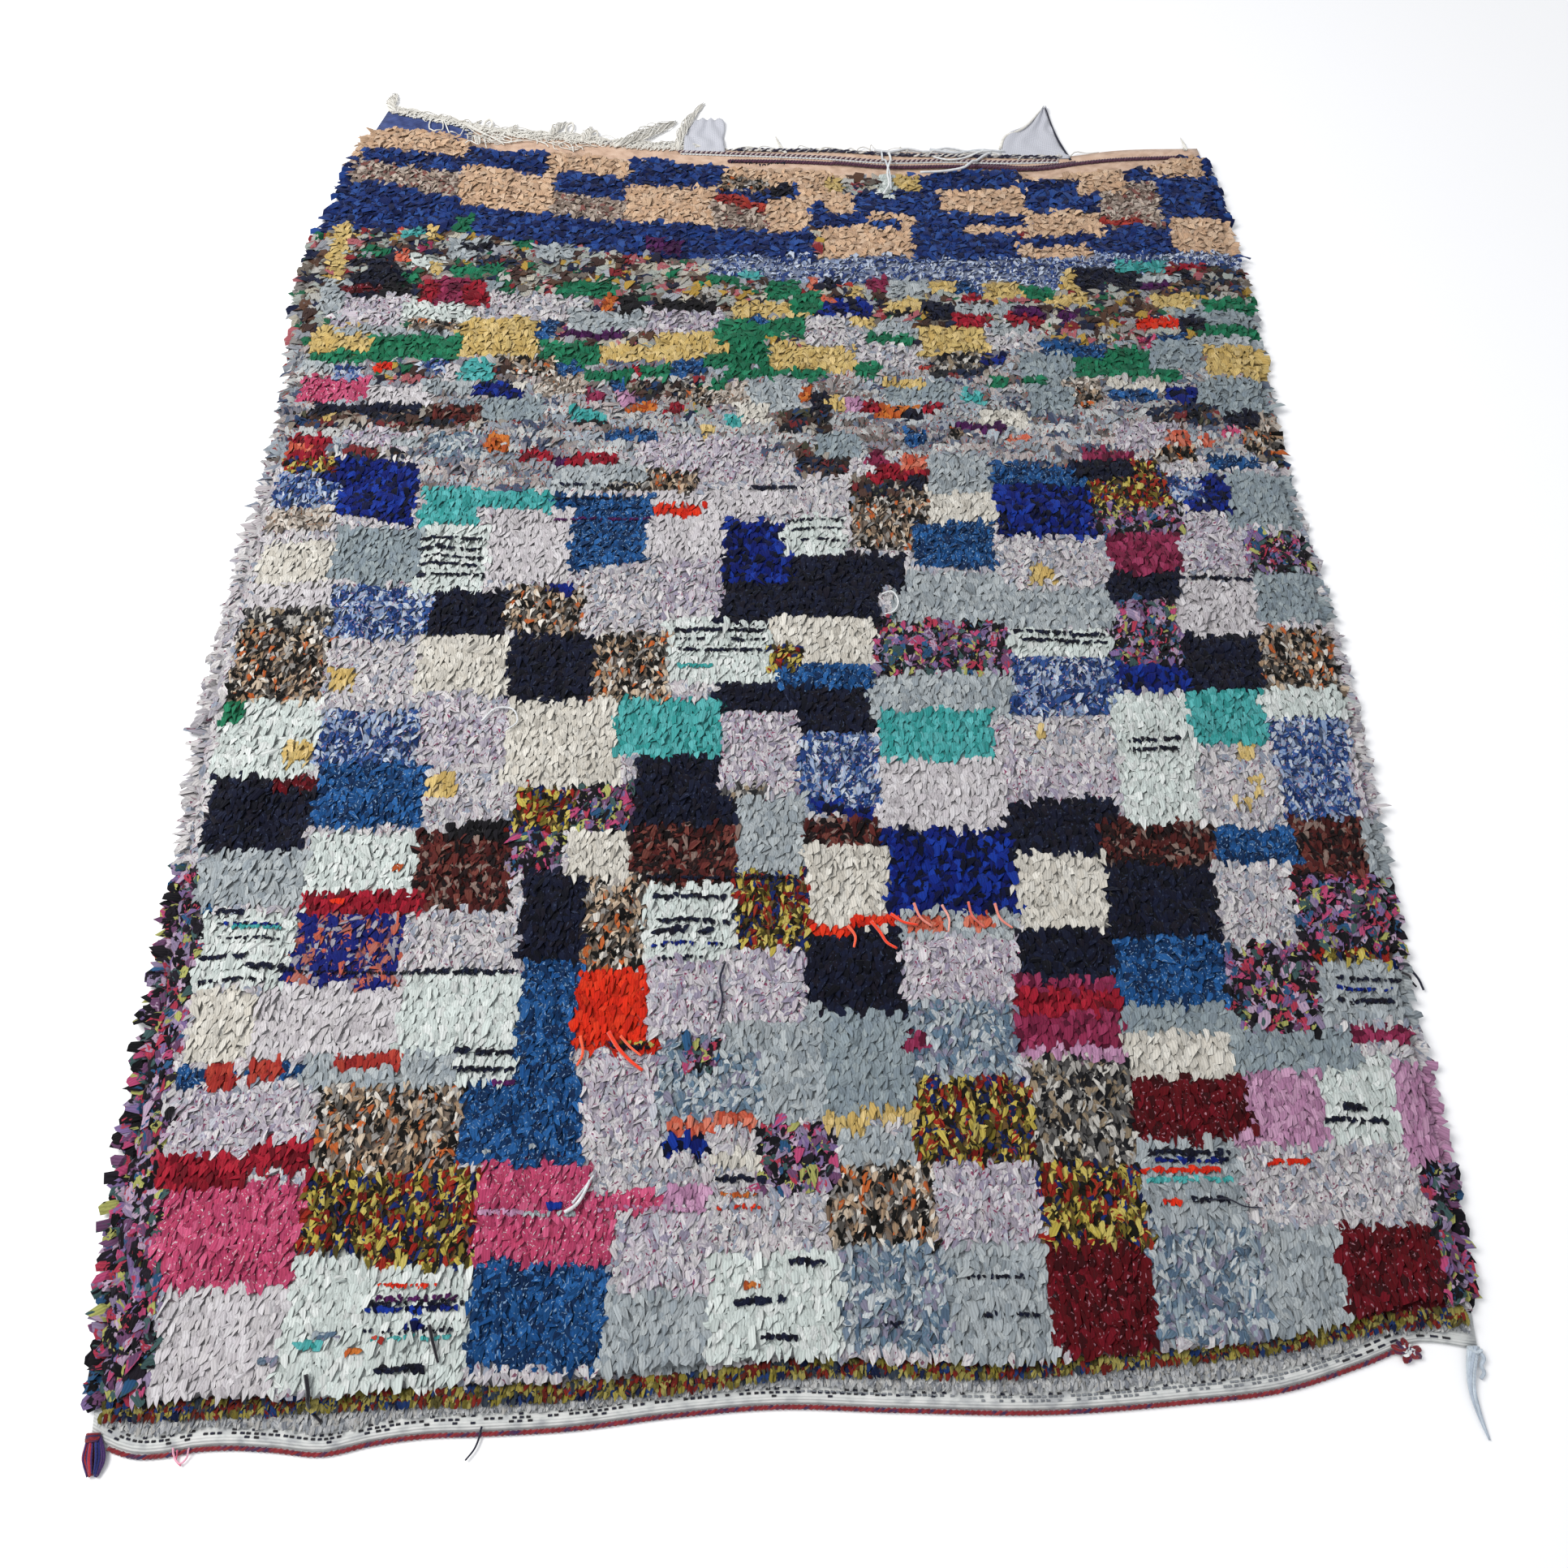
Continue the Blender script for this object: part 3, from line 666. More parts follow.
def rag_material(cloth):
    """Worn cotton rag: matte, soft at grazing light, darker down in the pile, with its own print."""
    material, tree, shader = new_material(cloth.finish, 0.92, 0.06)
    seed = add_node(tree, "ShaderNodeAttribute", {"attribute_name": "seed"}).outputs["Fac"]
    place = add_node(tree, "ShaderNodeAttribute", {"attribute_name": "cloth"}).outputs["Vector"]
    depth = add_node(tree, "ShaderNodeAttribute", {"attribute_name": "rise"}).outputs["Fac"]

    def pick(factor):
        shuffled = add_node(tree, "ShaderNodeMath", {"operation": "MULTIPLY", 1: factor}, {0: seed})
        return add_node(tree, "ShaderNodeMath", {"operation": "FRACT"}, {0: shuffled.outputs[0]}).outputs[0]

    ramp = {"interpolation": "CONSTANT", "stops": even_stops(cloth.colours)}
    colour = add_node(tree, "ShaderNodeValToRGB", ramp, {0: seed}).outputs["Color"]
    if cloth.cover:
        second = add_node(tree, "ShaderNodeValToRGB", ramp, {0: pick(17.3)}).outputs["Color"]
        motif = add_node(tree, "ShaderNodeTexNoise", {"Scale": 1 / cloth.motif, "Detail": 1.0},
                         {"Vector": place})
        shown = add_node(tree, "ShaderNodeMapRange",
                         {"From Min": 0.62 - 0.22 * cloth.cover, "From Max": 0.66 - 0.22 * cloth.cover},
                         {"Value": motif.outputs[0]})
        colour = add_node(tree, "ShaderNodeMixRGB", {}, {
            "Fac": shown.outputs[0], "Color1": colour, "Color2": second}).outputs[0]
    if cloth.fleck:
        spots = add_node(tree, "ShaderNodeTexNoise", {"Scale": 1 / cloth.fleck.size, "Detail": 0.0},
                         {"Vector": place})
        edge = 0.72 - 0.75 * cloth.fleck.share
        shown = add_node(tree, "ShaderNodeMapRange", {"From Min": edge, "From Max": edge + 0.03},
                         {"Value": spots.outputs[0]})
        colour = add_node(tree, "ShaderNodeMixRGB", {"Color2": (*linear(cloth.fleck.colour), 1.0)}, {
            "Fac": shown.outputs[0], "Color1": colour}).outputs[0]
    fade = add_node(tree, "ShaderNodeMapRange", {"To Min": 0.52, "To Max": 0.71}, {"Value": pick(41.7)})
    deep = add_node(tree, "ShaderNodeMapRange", {"From Max": 0.8, "To Min": 0.66}, {"Value": depth})
    creases = add_node(tree, "ShaderNodeTexWave", {
        "Scale": WAVE_PERIOD_AT_SCALE_ONE / CREASE_PITCH, "Distortion": 2.5, "Detail": 1.0},
        {"Vector": place})
    valley = add_node(tree, "ShaderNodeMapRange", {"From Max": 0.45, "To Min": 0.78},
                      {"Value": creases.outputs["Fac"]})
    worn = add_node(tree, "ShaderNodeMath", {"operation": "MULTIPLY"},
                    {0: fade.outputs[0], 1: valley.outputs[0]})
    shade = add_node(tree, "ShaderNodeMath", {"operation": "MULTIPLY"},
                     {0: worn.outputs[0], 1: deep.outputs[0]})
    lit = add_node(tree, "ShaderNodeVectorMath", {"operation": "SCALE"},
                   {0: colour, "Scale": shade.outputs[0]})
    tree.links.new(lit.outputs[0], shader.inputs["Base Color"])
    threads = add_node(tree, "ShaderNodeTexWave", {
        "Scale": WAVE_PERIOD_AT_SCALE_ONE / THREAD_PITCH, "Distortion": 1.5, "Detail": 1.0},
        {"Vector": place})
    relief = add_node(tree, "ShaderNodeMath", {"operation": "MULTIPLY_ADD", 1: 0.25},
                      {0: threads.outputs["Fac"], 2: creases.outputs["Fac"]})
    bump = add_node(tree, "ShaderNodeBump", {"Strength": 0.5, "Distance": 0.0010},
                    {"Height": relief.outputs[0]})
    tree.links.new(bump.outputs[0], shader.inputs["Normal"])
    return material


def dress(piece, slot, *nodes):
    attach(piece, "root")
    if nodes:
        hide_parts(*nodes)
    return piece


def link_piece(name, mesh, material):
    mesh.shade_smooth()
    mesh.materials.append(material)
    piece = bpy.data.objects.new(name, mesh)
    bpy.context.scene.collection.objects.link(piece)
    return piece


def piece_from(bm, name, material):
    bmesh.ops.recalc_face_normals(bm, faces=bm.faces)
    mesh = bpy.data.meshes.new(name)
    bm.to_mesh(mesh)
    bm.free()
    return link_piece(name, mesh, material)


def draw_out(rings):
    """Draw a closed strip out of one face, through rings of points.

    Returns the points in order and the faces, each with its corners' places in a cell of the bake map.
    """
    sides = len(rings[0])
    bm = bmesh.new()
    bmesh.ops.create_circle(bm, cap_ends=True, segments=sides, radius=1.0)
    face = next(iter(bm.faces))
    order = {}
    spots = []
    for k, ring in enumerate(rings):
        if k:
            face = bmesh.ops.extrude_discrete_faces(bm, faces=[face])["faces"][0]
        for side, (vert, spot) in enumerate(zip(face.verts, ring)):
            vert.co = spot
            order[vert] = (k, side)
            spots.append(tuple(spot))
    bmesh.ops.holes_fill(bm, edges=[edge for edge in bm.edges if edge.is_boundary], sides=sides)
    bmesh.ops.recalc_face_normals(bm, faces=bm.faces)
    faces = []
    for face in bm.faces:
        places = [order[vert] for vert in face.verts]
        levels = {k for k, _ in places}
        used = {side for _, side in places}
        if len(levels) == 2:
            first = sides - 1 if used == {0, sides - 1} else min(used)
            flats = [((first + (side != first)) / sides, k / (len(rings) - 1) * 0.86) for k, side in places]
        else:
            centre = 0.25 if 0 in levels else 0.75
            turns = [math.tau * side / sides for _, side in places]
            flats = [(centre + 0.2 * math.cos(turn), 0.94 + 0.05 * math.sin(turn)) for turn in turns]
        faces.append(([k * sides + side for k, side in places], flats))
    bm.free()
    return np.array(spots), faces


def join_copies(name, spots, faces, values):
    """Join copies of a strip in one mesh, each with its own cell of the bake map.

    A row of spots holds the points of one copy, and values holds named numbers for every point.
    """
    count, corners = spots.shape[:2]
    copies = np.arange(count)[:, None]
    loop_corner = np.array([corner for face, _ in faces for corner in face])
    starts = np.cumsum([0] + [len(face) for face, _ in faces[:-1]])
    mesh = bpy.data.meshes.new(name)
    mesh.vertices.add(count * corners)
    mesh.loops.add(count * len(loop_corner))
    mesh.polygons.add(count * len(faces))
    mesh.vertices.foreach_set("co", spots.ravel())
    mesh.polygons.foreach_set("loop_start", (starts + len(loop_corner) * copies).ravel())
    mesh.loops.foreach_set("vertex_index", (loop_corner + corners * copies).ravel())
    mesh.update(calc_edges=True)
    cells = math.ceil(math.sqrt(count))
    cell = np.stack([copies % cells, copies // cells], 2)
    flat = np.array([spot for _, flats in faces for spot in flats])
    layer = mesh.uv_layers.new(name="OFBake")
    layer.uv.foreach_set("vector", ((cell + 0.06 + 0.88 * flat) / cells).ravel())
    for label, value in values.items():
        vector = value.ndim == 3
        attribute = mesh.attributes.new(label, "FLOAT_VECTOR" if vector else "FLOAT", "POINT")
        attribute.data.foreach_set("vector" if vector else "value", value.ravel())
    return mesh


def rag_end(draw, bend, point):
    """One rag end: a strip folded along its middle that leaves its knot upward and bends over.

    It is one unit wide, long and high, and its tip lies toward the near end.
    """
    fold = draw.uniform(0.09, 0.15)
    ridge = draw.uniform(-0.2, 0.2)
    cut = draw.uniform(-0.35, 0.35)
    twist = draw.uniform(-0.5, 0.5)
    widths = (0.75, 1.0, 1.0 - 0.8 * point)
    centre = Vector((0.0, 0.0, 0.0))
    before = 0.0
    rings = []
    for share, width in zip(RAG_RINGS, widths):
        middle = bend * (before + share) / 2
        centre = centre + Vector((0.0, -math.sin(middle), math.cos(middle))) * (share - before)
        before = share
        ahead = Vector((0.0, -math.sin(bend * share), math.cos(bend * share)))
        side = Matrix.Rotation(twist * share, 3, ahead) @ Vector((1.0, 0.0, 0.0))
        out = ahead.cross(side)
        slant = ahead * cut * share
        rings.append((
            centre - side * width / 2 - slant,
            centre + side * width / 2 + slant,
            centre + side * ridge * width + out * fold,
        ))
    spots, faces = draw_out(rings)
    low = spots[:, 2].min()
    high = spots[:, 2].max()
    reach = -spots[:, 1].min()
    return (spots - (0.0, 0.0, low)) / (1.0, max(reach, 0.05), high - low), faces


def rag_shapes():
    """The shapes that the rag ends are copied from: lying ones first, then upright ones."""
    draw = random.Random(5)
    lying = [rag_end(draw, draw.uniform(1.7, 2.5), TIP_POINTS[k % 3]) for k in range(LYING_SHAPES)]
    upright = [rag_end(draw, draw.uniform(0.6, 1.4), TIP_POINTS[k % 3]) for k in range(UPRIGHT_SHAPES)]
    return lying + upright


Rags = namedtuple("Rags", "x y turn back width reach low high shape cloth seed")


def rag_mesh(name, shapes, rags, chosen, draw):
    """Join the chosen rag ends in one mesh, each with its place on the cloth."""
    count = len(chosen)
    spots = np.array([shape[0] for shape in shapes])[rags.shape[chosen]]
    across = spots[:, :, 0] * rags.width[chosen][:, None]
    along = (spots[:, :, 1] + rags.back[chosen][:, None]) * rags.reach[chosen][:, None]
    turn = rags.turn[chosen][:, None]
    low = rags.low[chosen][:, None]
    x = rags.x[chosen][:, None] + across * np.cos(turn) - along * np.sin(turn)
    y = rags.y[chosen][:, None] + across * np.sin(turn) + along * np.cos(turn)
    z = low + spots[:, :, 2] * (rags.high[chosen][:, None] - low)
    points = spots.shape[1]
    cloth = np.stack([across + draw.random(count)[:, None] * 9,
                      np.repeat(RAG_RINGS, 3) * 0.02 + draw.random(count)[:, None] * 9,
                      across * 0], 2)
    return join_copies(name, np.stack([x, y, np.clip(z, LOWEST_POINT, HIGHEST_RAG)], 2), shapes[0][1], {
        "seed": np.repeat(rags.seed[chosen], points),
        "rise": spots[:, :, 2].copy(),
        "cloth": cloth,
    })


pile_top = BVHTree.FromPolygons([vert.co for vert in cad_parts["rug"].data.vertices],
                                [list(face.vertices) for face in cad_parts["rug"].data.polygons])


def pile_heights(x, y):
    """Height of the CAD model's rug at each place, and of its rim past the edge."""
    down = Vector((0.0, 0.0, -1.0))
    hits = [pile_top.ray_cast(Vector((a, b, 1.0)), down)[0] for a, b in zip(x, y)]
    return np.array([PILE_RIM_HEIGHT if hit is None else hit.z for hit in hits])


def chart_line(table, chart_x):
    """Read a line on the chart at many places across it."""
    return smooth_between([x for x, _ in table], [y for _, y in table], chart_x)


def wander(x, y, size, offset=0.0):
    """Slow random drift over the rug, between -1 and 1."""
    return np.array([noise.noise(Vector((a / size, b / size, offset))) for a, b in zip(x, y)])


def plant_rags(draw):
    """Lay out every rag end in knotted rows across the rug, with its cloth from the chart."""
    columns = round((SIDES[3].right - SIDES[3].left) / KNOT_PITCH)
    rows = round((RUG_LENGTH - PILE_START) / ROW_PITCH)
    column, row = (grid.ravel() for grid in np.meshgrid(np.arange(columns), np.arange(2 * rows)))
    count = len(row)
    u = np.clip((column + 0.25 + 0.5 * (row % 2) + draw.uniform(-0.35, 0.35, count)) / columns, 0.002, 0.998)
    in_row = HALF_ROW_START + HALF_ROW_STEP * (row % 2) + draw.uniform(-0.11, 0.11, count)
    distance = PILE_START + (row // 2 + in_row) * ROW_PITCH
    x, y = cloth_place(u, distance / RUG_LENGTH)
    high = np.maximum(pile_heights(x, y), LOWEST_RAG_TOP) + draw.normal(0, TOP_JITTER, count)

    # Which cloth each knot is tied from
    chart_x, chart_y = chart_place(x, y, PILE_TOP)
    drift_x = SLOW_DRIFT_ACROSS * wander(x, y, 0.030) + draw.normal(0, OWN_DRIFT_ACROSS, count)
    drift_y = SLOW_DRIFT_ALONG * wander(x, y, 0.040, 5.0) + draw.normal(0, OWN_DRIFT_ALONG, count)
    cloth = cloth_numbers(chart_x + drift_x, chart_y + drift_y)
    run, cover, point, usual = (np.array([getattr(item, what) for item in CLOTHS])[cloth]
                                for what in ("run", "cover", "point", "width"))

    # Which rag of that cloth
    lanes = draw.random((rows, RAG_LANES))
    stretch = ((x + 1.0) / np.maximum(run, 0.01) + 50 * lanes[row // 2, 0]).astype(int) % RAG_LANES
    same = (run > 0) & (draw.random(count) < SAME_RAG_SHARE)
    seed = np.where(same, lanes[row // 2, stretch], draw.random(count))

    # Rag ends lie over the selvedges at both rims, and stand in tufts toward the far end
    left_rim = u < RIM_BAND
    right_rim = u > 1 - RIM_BAND
    rim = left_rim | right_rim
    tufts = np.clip((y - CHART_SHIFT[1] - TUFTS_START) / (TUFTS_FULL - TUFTS_START), 0, 1)
    tufted = (draw.random(count) < tufts) & ~rim
    stands = (tufted & (draw.random(count) < UPRIGHT_SHARE_OF_TUFTS)) | (draw.random(count) < UPRIGHT_SHARE)
    sway = np.where(stands, 1.1, np.where(tufted, 0.7, 0.13 + 0.8 * cover))
    turn = draw.normal(0, 1, count) * sway
    turn = np.where(left_rim, -RIM_TURN + draw.normal(0, 0.4, count), turn)
    turn = np.where(right_rim, RIM_TURN + draw.normal(0, 0.4, count), turn)
    kind = np.clip((point * 3 + draw.normal(0, 0.8, count)).astype(int), 0, 2) * ~rim
    lying = 3 * draw.integers(0, LYING_SHAPES // 3, count) + kind
    upright = LYING_SHAPES + 3 * draw.integers(0, UPRIGHT_SHAPES // 3, count) + kind
    shape = np.where(stands, upright, lying)
    width = usual * draw.uniform(0.75, 1.35, count) * np.where(rim, 1.35, np.where(tufted, 1.40, 1.10))
    reach = np.where(tufted, draw.uniform(0.012, 0.018, count), draw.uniform(0.014, 0.020, count))
    reach = reach * np.sqrt(usual / USUAL_RAG_WIDTH)
    reach = np.where(left_rim, draw.uniform(0.016, 0.030, count), reach)
    reach = np.where(right_rim, draw.uniform(0.012, 0.024, count), reach)
    back = np.where(rim, RIM_ANCHOR, 0.5)
    high = np.where(rim, draw.uniform(0.009, 0.017, count), high)
    low = np.where(rim, RIM_FOOT, high - np.where(stands, TUFT_DEPTH, RAG_DEPTH))
    stray = draw.random(count) < STRAY_SHARE
    high = high + stray * draw.uniform(0.001, 0.004, count)
    reach = reach * np.where(stray, STRAY_REACH, 1.0)
    rags = Rags(x, y, turn, back, width, reach, low, high, shape, cloth, seed)
    before_far_end = chart_y < chart_line(PILE_FAR_END, chart_x)
    past_border = chart_y > chart_line(BORDER_LINE, chart_x) + BORDER_HALF
    return Rags(*(field[before_far_end & past_border] for field in rags))


def plant_near_band(draw):
    """The bright border row and the short pale band that it stands over, tied in closer rows."""
    across = np.arange(NEAR_END[0].across + 0.004, NEAR_END[-1].across - 0.002, NEAR_KNOT_PITCH)
    count = len(across)
    bare = end_line(NEAR_END, across) * 100 + BARE_WEAVE
    border = chart_line(BORDER_LINE, across * 100)
    depth = border - BORDER_HALF - bare
    lines = [("short_band", bare + depth * share, SHORT_BAND_TOP) for share in BAND_SHARES]
    lines += [("border_mix", border + shift, BORDER_TOP) for shift in BORDER_SHIFTS]
    found = []
    for name, along, top in lines:
        cloth = CLOTHS[CLOTH_NUMBER[name]]
        chart_x = across * 100 + draw.uniform(-0.16, 0.16, count)
        chart_y = along + draw.uniform(-0.12, 0.12, count)
        x, y = np.array(from_chart(zip(chart_x, chart_y), top))[:, :2].T
        high = top + draw.normal(0, 0.0008, count)
        lanes = draw.random(RAG_LANES)
        same = (cloth.run > 0) & (draw.random(count) < SAME_RAG_SHARE_NEAR)
        stretch = ((across + 1.0) / max(cloth.run, 0.01)).astype(int)
        seed = np.where(same, lanes[stretch % RAG_LANES], draw.random(count))
        shape = 3 * draw.integers(0, LYING_SHAPES // 3, count) + draw.integers(0, 2, count)
        found.append(Rags(x, y, draw.normal(0, 0.12, count), np.full(count, 0.5),
                          cloth.width * draw.uniform(0.8, 1.35, count), draw.uniform(0.009, 0.013, count),
                          high - 0.0055, high, shape, np.full(count, CLOTH_NUMBER[name]), seed))
    return Rags(*(np.concatenate(fields) for fields in zip(*found)))


def plant_stripes(draw):
    """The thin rows of short ends, set on top of the pale cloths."""
    found = []
    for name, rows in STRIPES.items():
        for left, right, along, width in rows:
            at = np.arange(left + 0.3, right, max(width, THIN_STRIPE) * STRIPE_SPACING)
            at = at[draw.random(len(at)) < (STRIPE_SHARE if width > THIN_STRIPE else THIN_STRIPE_SHARE)]
            place = np.array(from_chart([(a, along) for a in at], PILE_TOP))
            place[:, 1] += draw.normal(0, 0.0009, len(at)) + 0.005 * wander(place[:, 0], place[:, 1], 0.10)
            found.append((place, width, CLOTH_NUMBER[name]))
    x, y = (np.concatenate([place[:, k] for place, _, _ in found]) for k in (0, 1))
    usual = np.concatenate([np.full(len(place), width) for place, width, _ in found])
    cloth = np.concatenate([np.full(len(place), number) for place, _, number in found])
    count = len(x)
    high = pile_heights(x, y) + STRIPE_ABOVE_PILE
    shape = 3 * draw.integers(0, LYING_SHAPES // 3, count) + draw.integers(0, 2, count)
    reach = STRIPE_END_REACH * draw.uniform(0.7, 1.5, count) * (0.25 + usual / 0.0085)
    turn = draw.normal(0, 0.18, count)
    width = usual * draw.uniform(0.9, 1.5, count)
    return Rags(x, y, turn, np.full(count, 0.5), width, reach, high - STRIPE_DEPTH, high, shape, cloth,
                draw.random(count))


def build_pile():
    draw = np.random.default_rng(7)
    shapes = rag_shapes()
    planted = (plant_rags(draw), plant_near_band(draw), plant_stripes(draw))
    rags = Rags(*(np.concatenate(fields) for fields in zip(*planted)))
    made = []
    for k, cloth in enumerate(CLOTHS):
        chosen = np.flatnonzero(rags.cloth == k)
        parts = -(-len(chosen) // MOST_RAGS_IN_PIECE)
        finish = rag_material(cloth)
        for part in range(parts):
            name = "rags_" + cloth.name + ("_" + "abcdef"[part] if parts > 1 else "")
            mesh = rag_mesh(name, shapes, rags, chosen[part::parts], draw)
            piece = link_piece(name, mesh, finish)
            mesh.set_sharp_from_angle(angle=SHARP_EDGE)
            made.append(dress(piece, "rag_pile"))
    return made


# Weft ribs of the woven ends, drawn at 3 mm where real ones are 2 mm
RIB_PITCH = 0.003
BED_TONE = 0.46
BLUE_STRIP_RIGHT = -0.590
GROUND_CELLS_ACROSS = 96
GROUND_CELLS_ALONG = 130


def ground_material():
    """Plain woven cotton ground: ribbed wefts at both ends, and dark packed knots under the pile."""
    material, tree, shader = new_material("handwoven_cotton_ground", 0.95, 0.15)
    ends = add_node(tree, "ShaderNodeAttribute", {"attribute_name": "ends"}).outputs["Vector"]
    bed = add_node(tree, "ShaderNodeAttribute", {"attribute_name": "bed"}).outputs["Color"]
    parts = add_node(tree, "ShaderNodeSeparateXYZ", {}, {0: ends})
    across, from_near, beyond_pile = (parts.outputs[k] for k in range(3))
    noise_of = add_node(tree, "ShaderNodeTexNoise", {"Scale": 60.0, "Detail": 3.0}, {"Vector": ends})
    peach = add_node(tree, "ShaderNodeValToRGB", {"stops": [
        (0.3, linear("#A88C78")), (0.5, linear("#BC9F8A")), (0.7, linear("#C8AE9A"))]},
        {0: noise_of.outputs[0]})
    blue = add_node(tree, "ShaderNodeValToRGB", {"stops": [
        (0.3, linear("#24305C")), (0.7, linear("#3E4E82"))]}, {0: noise_of.outputs[0]})
    white = add_node(tree, "ShaderNodeValToRGB", {"stops": [
        (0.3, linear("#9C9EA0")), (0.5, linear("#BCBEBC")), (0.7, linear("#CACAC8"))]},
        {0: noise_of.outputs[0]})
    at_blue = add_node(tree, "ShaderNodeMath", {"operation": "LESS_THAN", 1: BLUE_STRIP_RIGHT}, {0: across})
    far = add_node(tree, "ShaderNodeMixRGB", {}, {
        "Fac": at_blue.outputs[0], "Color1": peach.outputs[0], "Color2": blue.outputs[0]})
    at_near = add_node(tree, "ShaderNodeMath", {"operation": "LESS_THAN", 1: NEAR_WEAVE_WIDTH},
                       {0: from_near})
    at_far = add_node(tree, "ShaderNodeMath", {"operation": "GREATER_THAN", 1: 0.0}, {0: beyond_pile})
    near_bed = add_node(tree, "ShaderNodeMixRGB", {}, {
        "Fac": at_near.outputs[0], "Color1": bed, "Color2": white.outputs[0]})
    colour = add_node(tree, "ShaderNodeMixRGB", {}, {
        "Fac": at_far.outputs[0], "Color1": near_bed.outputs[0], "Color2": far.outputs[0]})
    tree.links.new(colour.outputs[0], shader.inputs["Base Color"])
    ribs = add_node(tree, "ShaderNodeTexWave", {
        "bands_direction": "Y", "Scale": WAVE_PERIOD_AT_SCALE_ONE / RIB_PITCH, "Distortion": 0.6},
        {"Vector": ends})
    bump = add_node(tree, "ShaderNodeBump", {"Strength": 0.4, "Distance": 0.001},
                    {"Height": ribs.outputs["Fac"]})
    tree.links.new(bump.outputs[0], shader.inputs["Normal"])
    return material


def build_ground():
    """The woven cloth that the knots sit in, from selvedge to selvedge with both woven ends."""
    bm = bmesh.new()
    bmesh.ops.create_grid(bm, x_segments=GROUND_CELLS_ACROSS, y_segments=GROUND_CELLS_ALONG, size=0.5)
    u = np.array([vert.co.x + 0.5 for vert in bm.verts])
    row = np.array([vert.co.y + 0.5 for vert in bm.verts])
    end_rows = 4 / GROUND_CELLS_ALONG
    near_foot = NEAR_WEAVE_WIDTH / RUG_LENGTH
    far_foot = 1 - (FAR_WEAVE_WIDTH + 0.006) / RUG_LENGTH
    v = np.interp(row, (0, end_rows, 1 - end_rows, 1), (0, near_foot, far_foot, 1))
    x, y = cloth_place(u, v)
    top = pile_heights(x, y)
    inside = (row > end_rows + 0.001) & (row < 1 - end_rows - 0.001)
    side = np.clip(np.minimum(u, 1 - u) / 0.012, 0.0, 1.0)
    bed_top = np.maximum(top - BED_BELOW_TOP, WEAVE_THICKNESS)
    z = np.where(inside, WEAVE_THICKNESS + (bed_top - WEAVE_THICKNESS) * side, WEAVE_THICKNESS)
    chart_x, chart_y = chart_place(x, y, PILE_TOP)
    beyond_pile = chart_y - chart_line(PILE_FAR_END, chart_x)
    z = np.where(beyond_pile > 0, WEAVE_THICKNESS, z)
    cloth = cloth_numbers(chart_x, chart_y)
    shades = np.array([np.mean([linear(c) for c in item.colours], 0) for item in CLOTHS]) * BED_TONE
    ends = bm.verts.layers.float_vector.new("ends")
    bed = bm.verts.layers.float_color.new("bed")
    for k, vert in enumerate(bm.verts):
        vert.co = Vector((x[k], y[k], max(z[k], WEAVE_THICKNESS)))
        vert[ends] = Vector((x[k] - CHART_SHIFT[0], v[k] * RUG_LENGTH, beyond_pile[k] / 100))
        vert[bed] = (*shades[cloth[k]], 1.0)
    rim = [edge for edge in bm.edges if edge.is_boundary]
    wall = bmesh.ops.extrude_edge_only(bm, edges=rim)["geom"]
    for item in wall:
        if isinstance(item, bmesh.types.BMVert):
            item.co.z = 0.0
    bmesh.ops.edgeloop_fill(bm, edges=[edge for edge in bm.edges if edge.is_boundary])
    piece = piece_from(bm, "woven_ground", ground_material())
    return dress(piece, "rag_pile", "rug")


# Yarns: the tables below hold places in centimetres on the chart
YarnKind = namedtuple("YarnKind", "finish colours run")
YARNS = {
    # Hard-spun wool in two plies, dyed red and here and there dark blue
    "edging": YarnKind("two_ply_wool_yarn_red_and_navy",
                       ("#7C2228", "#882A30", "#681A22", "#7E2428", "#26244A", "#762026"), 0.045),
    # Undyed warp cotton, grey with use
    "cotton": YarnKind("unbleached_cotton_warp", ("#D6D3CB", "#DEDBD3", "#C8C4BB", "#E2E0D9"), None),
    "white": YarnKind("bleached_cotton_yarn", ("#CED0D2", "#C4C8CC", "#D8DADA"), None),
    "ribbon": YarnKind("torn_cotton_strip_pale_blue", ("#B2BDC8", "#A6B1BE", "#BCC6CE"), None),
    "slate": YarnKind("cotton_thread_slate", ("#6C7076", "#83878C"), None),
    "ticking": YarnKind("twined_cotton_black_and_white", ("#1A1A20", "#DADAD6"), None),
    "scallop": YarnKind("twined_cotton_navy_and_white", ("#1C2038", "#2A2238", "#23263E", "#D0CCC6"), 0.02),
    "dotted": YarnKind("twined_wool_aubergine_and_white", ("#4A2A3E", "#C4B6B0"), None),
    "aubergine": YarnKind("wool_weft_aubergine", ("#4A2A3E", "#3E2236", "#573348"), None),
    "orange": YarnKind("cotton_jersey_strand_orange_red", ("#E23C1E", "#EC5A38"), None),
    "coral": YarnKind("cotton_jersey_strand_coral", ("#D98070", "#CC5E52", "#E09A8C"), None),
    "dark": YarnKind("cotton_strand_navy_black", ("#14162A", "#1C1A20"), None),
    "pink": YarnKind("cotton_jersey_strand_pink", ("#E0A0B4", "#D0607E"), None),
    # Ends of odd wool yarns
    "tassel": YarnKind("wool_yarn_ends_red_blue_violet",
                       ("#8E2430", "#A42C36", "#3C2458", "#23286A", "#1B2050", "#33285E"), None),
}

# The cord lies just outside the near edge, between these shares of its width
CORD_START = 0.014
CORD_END = 0.946
CORD_PITCH = 0.012
CORD_OUTSIDE = 0.0036
CORD_RADIUS = 0.0018
CORD_SPREAD = 0.0012
CORD_LIFT = 0.0010

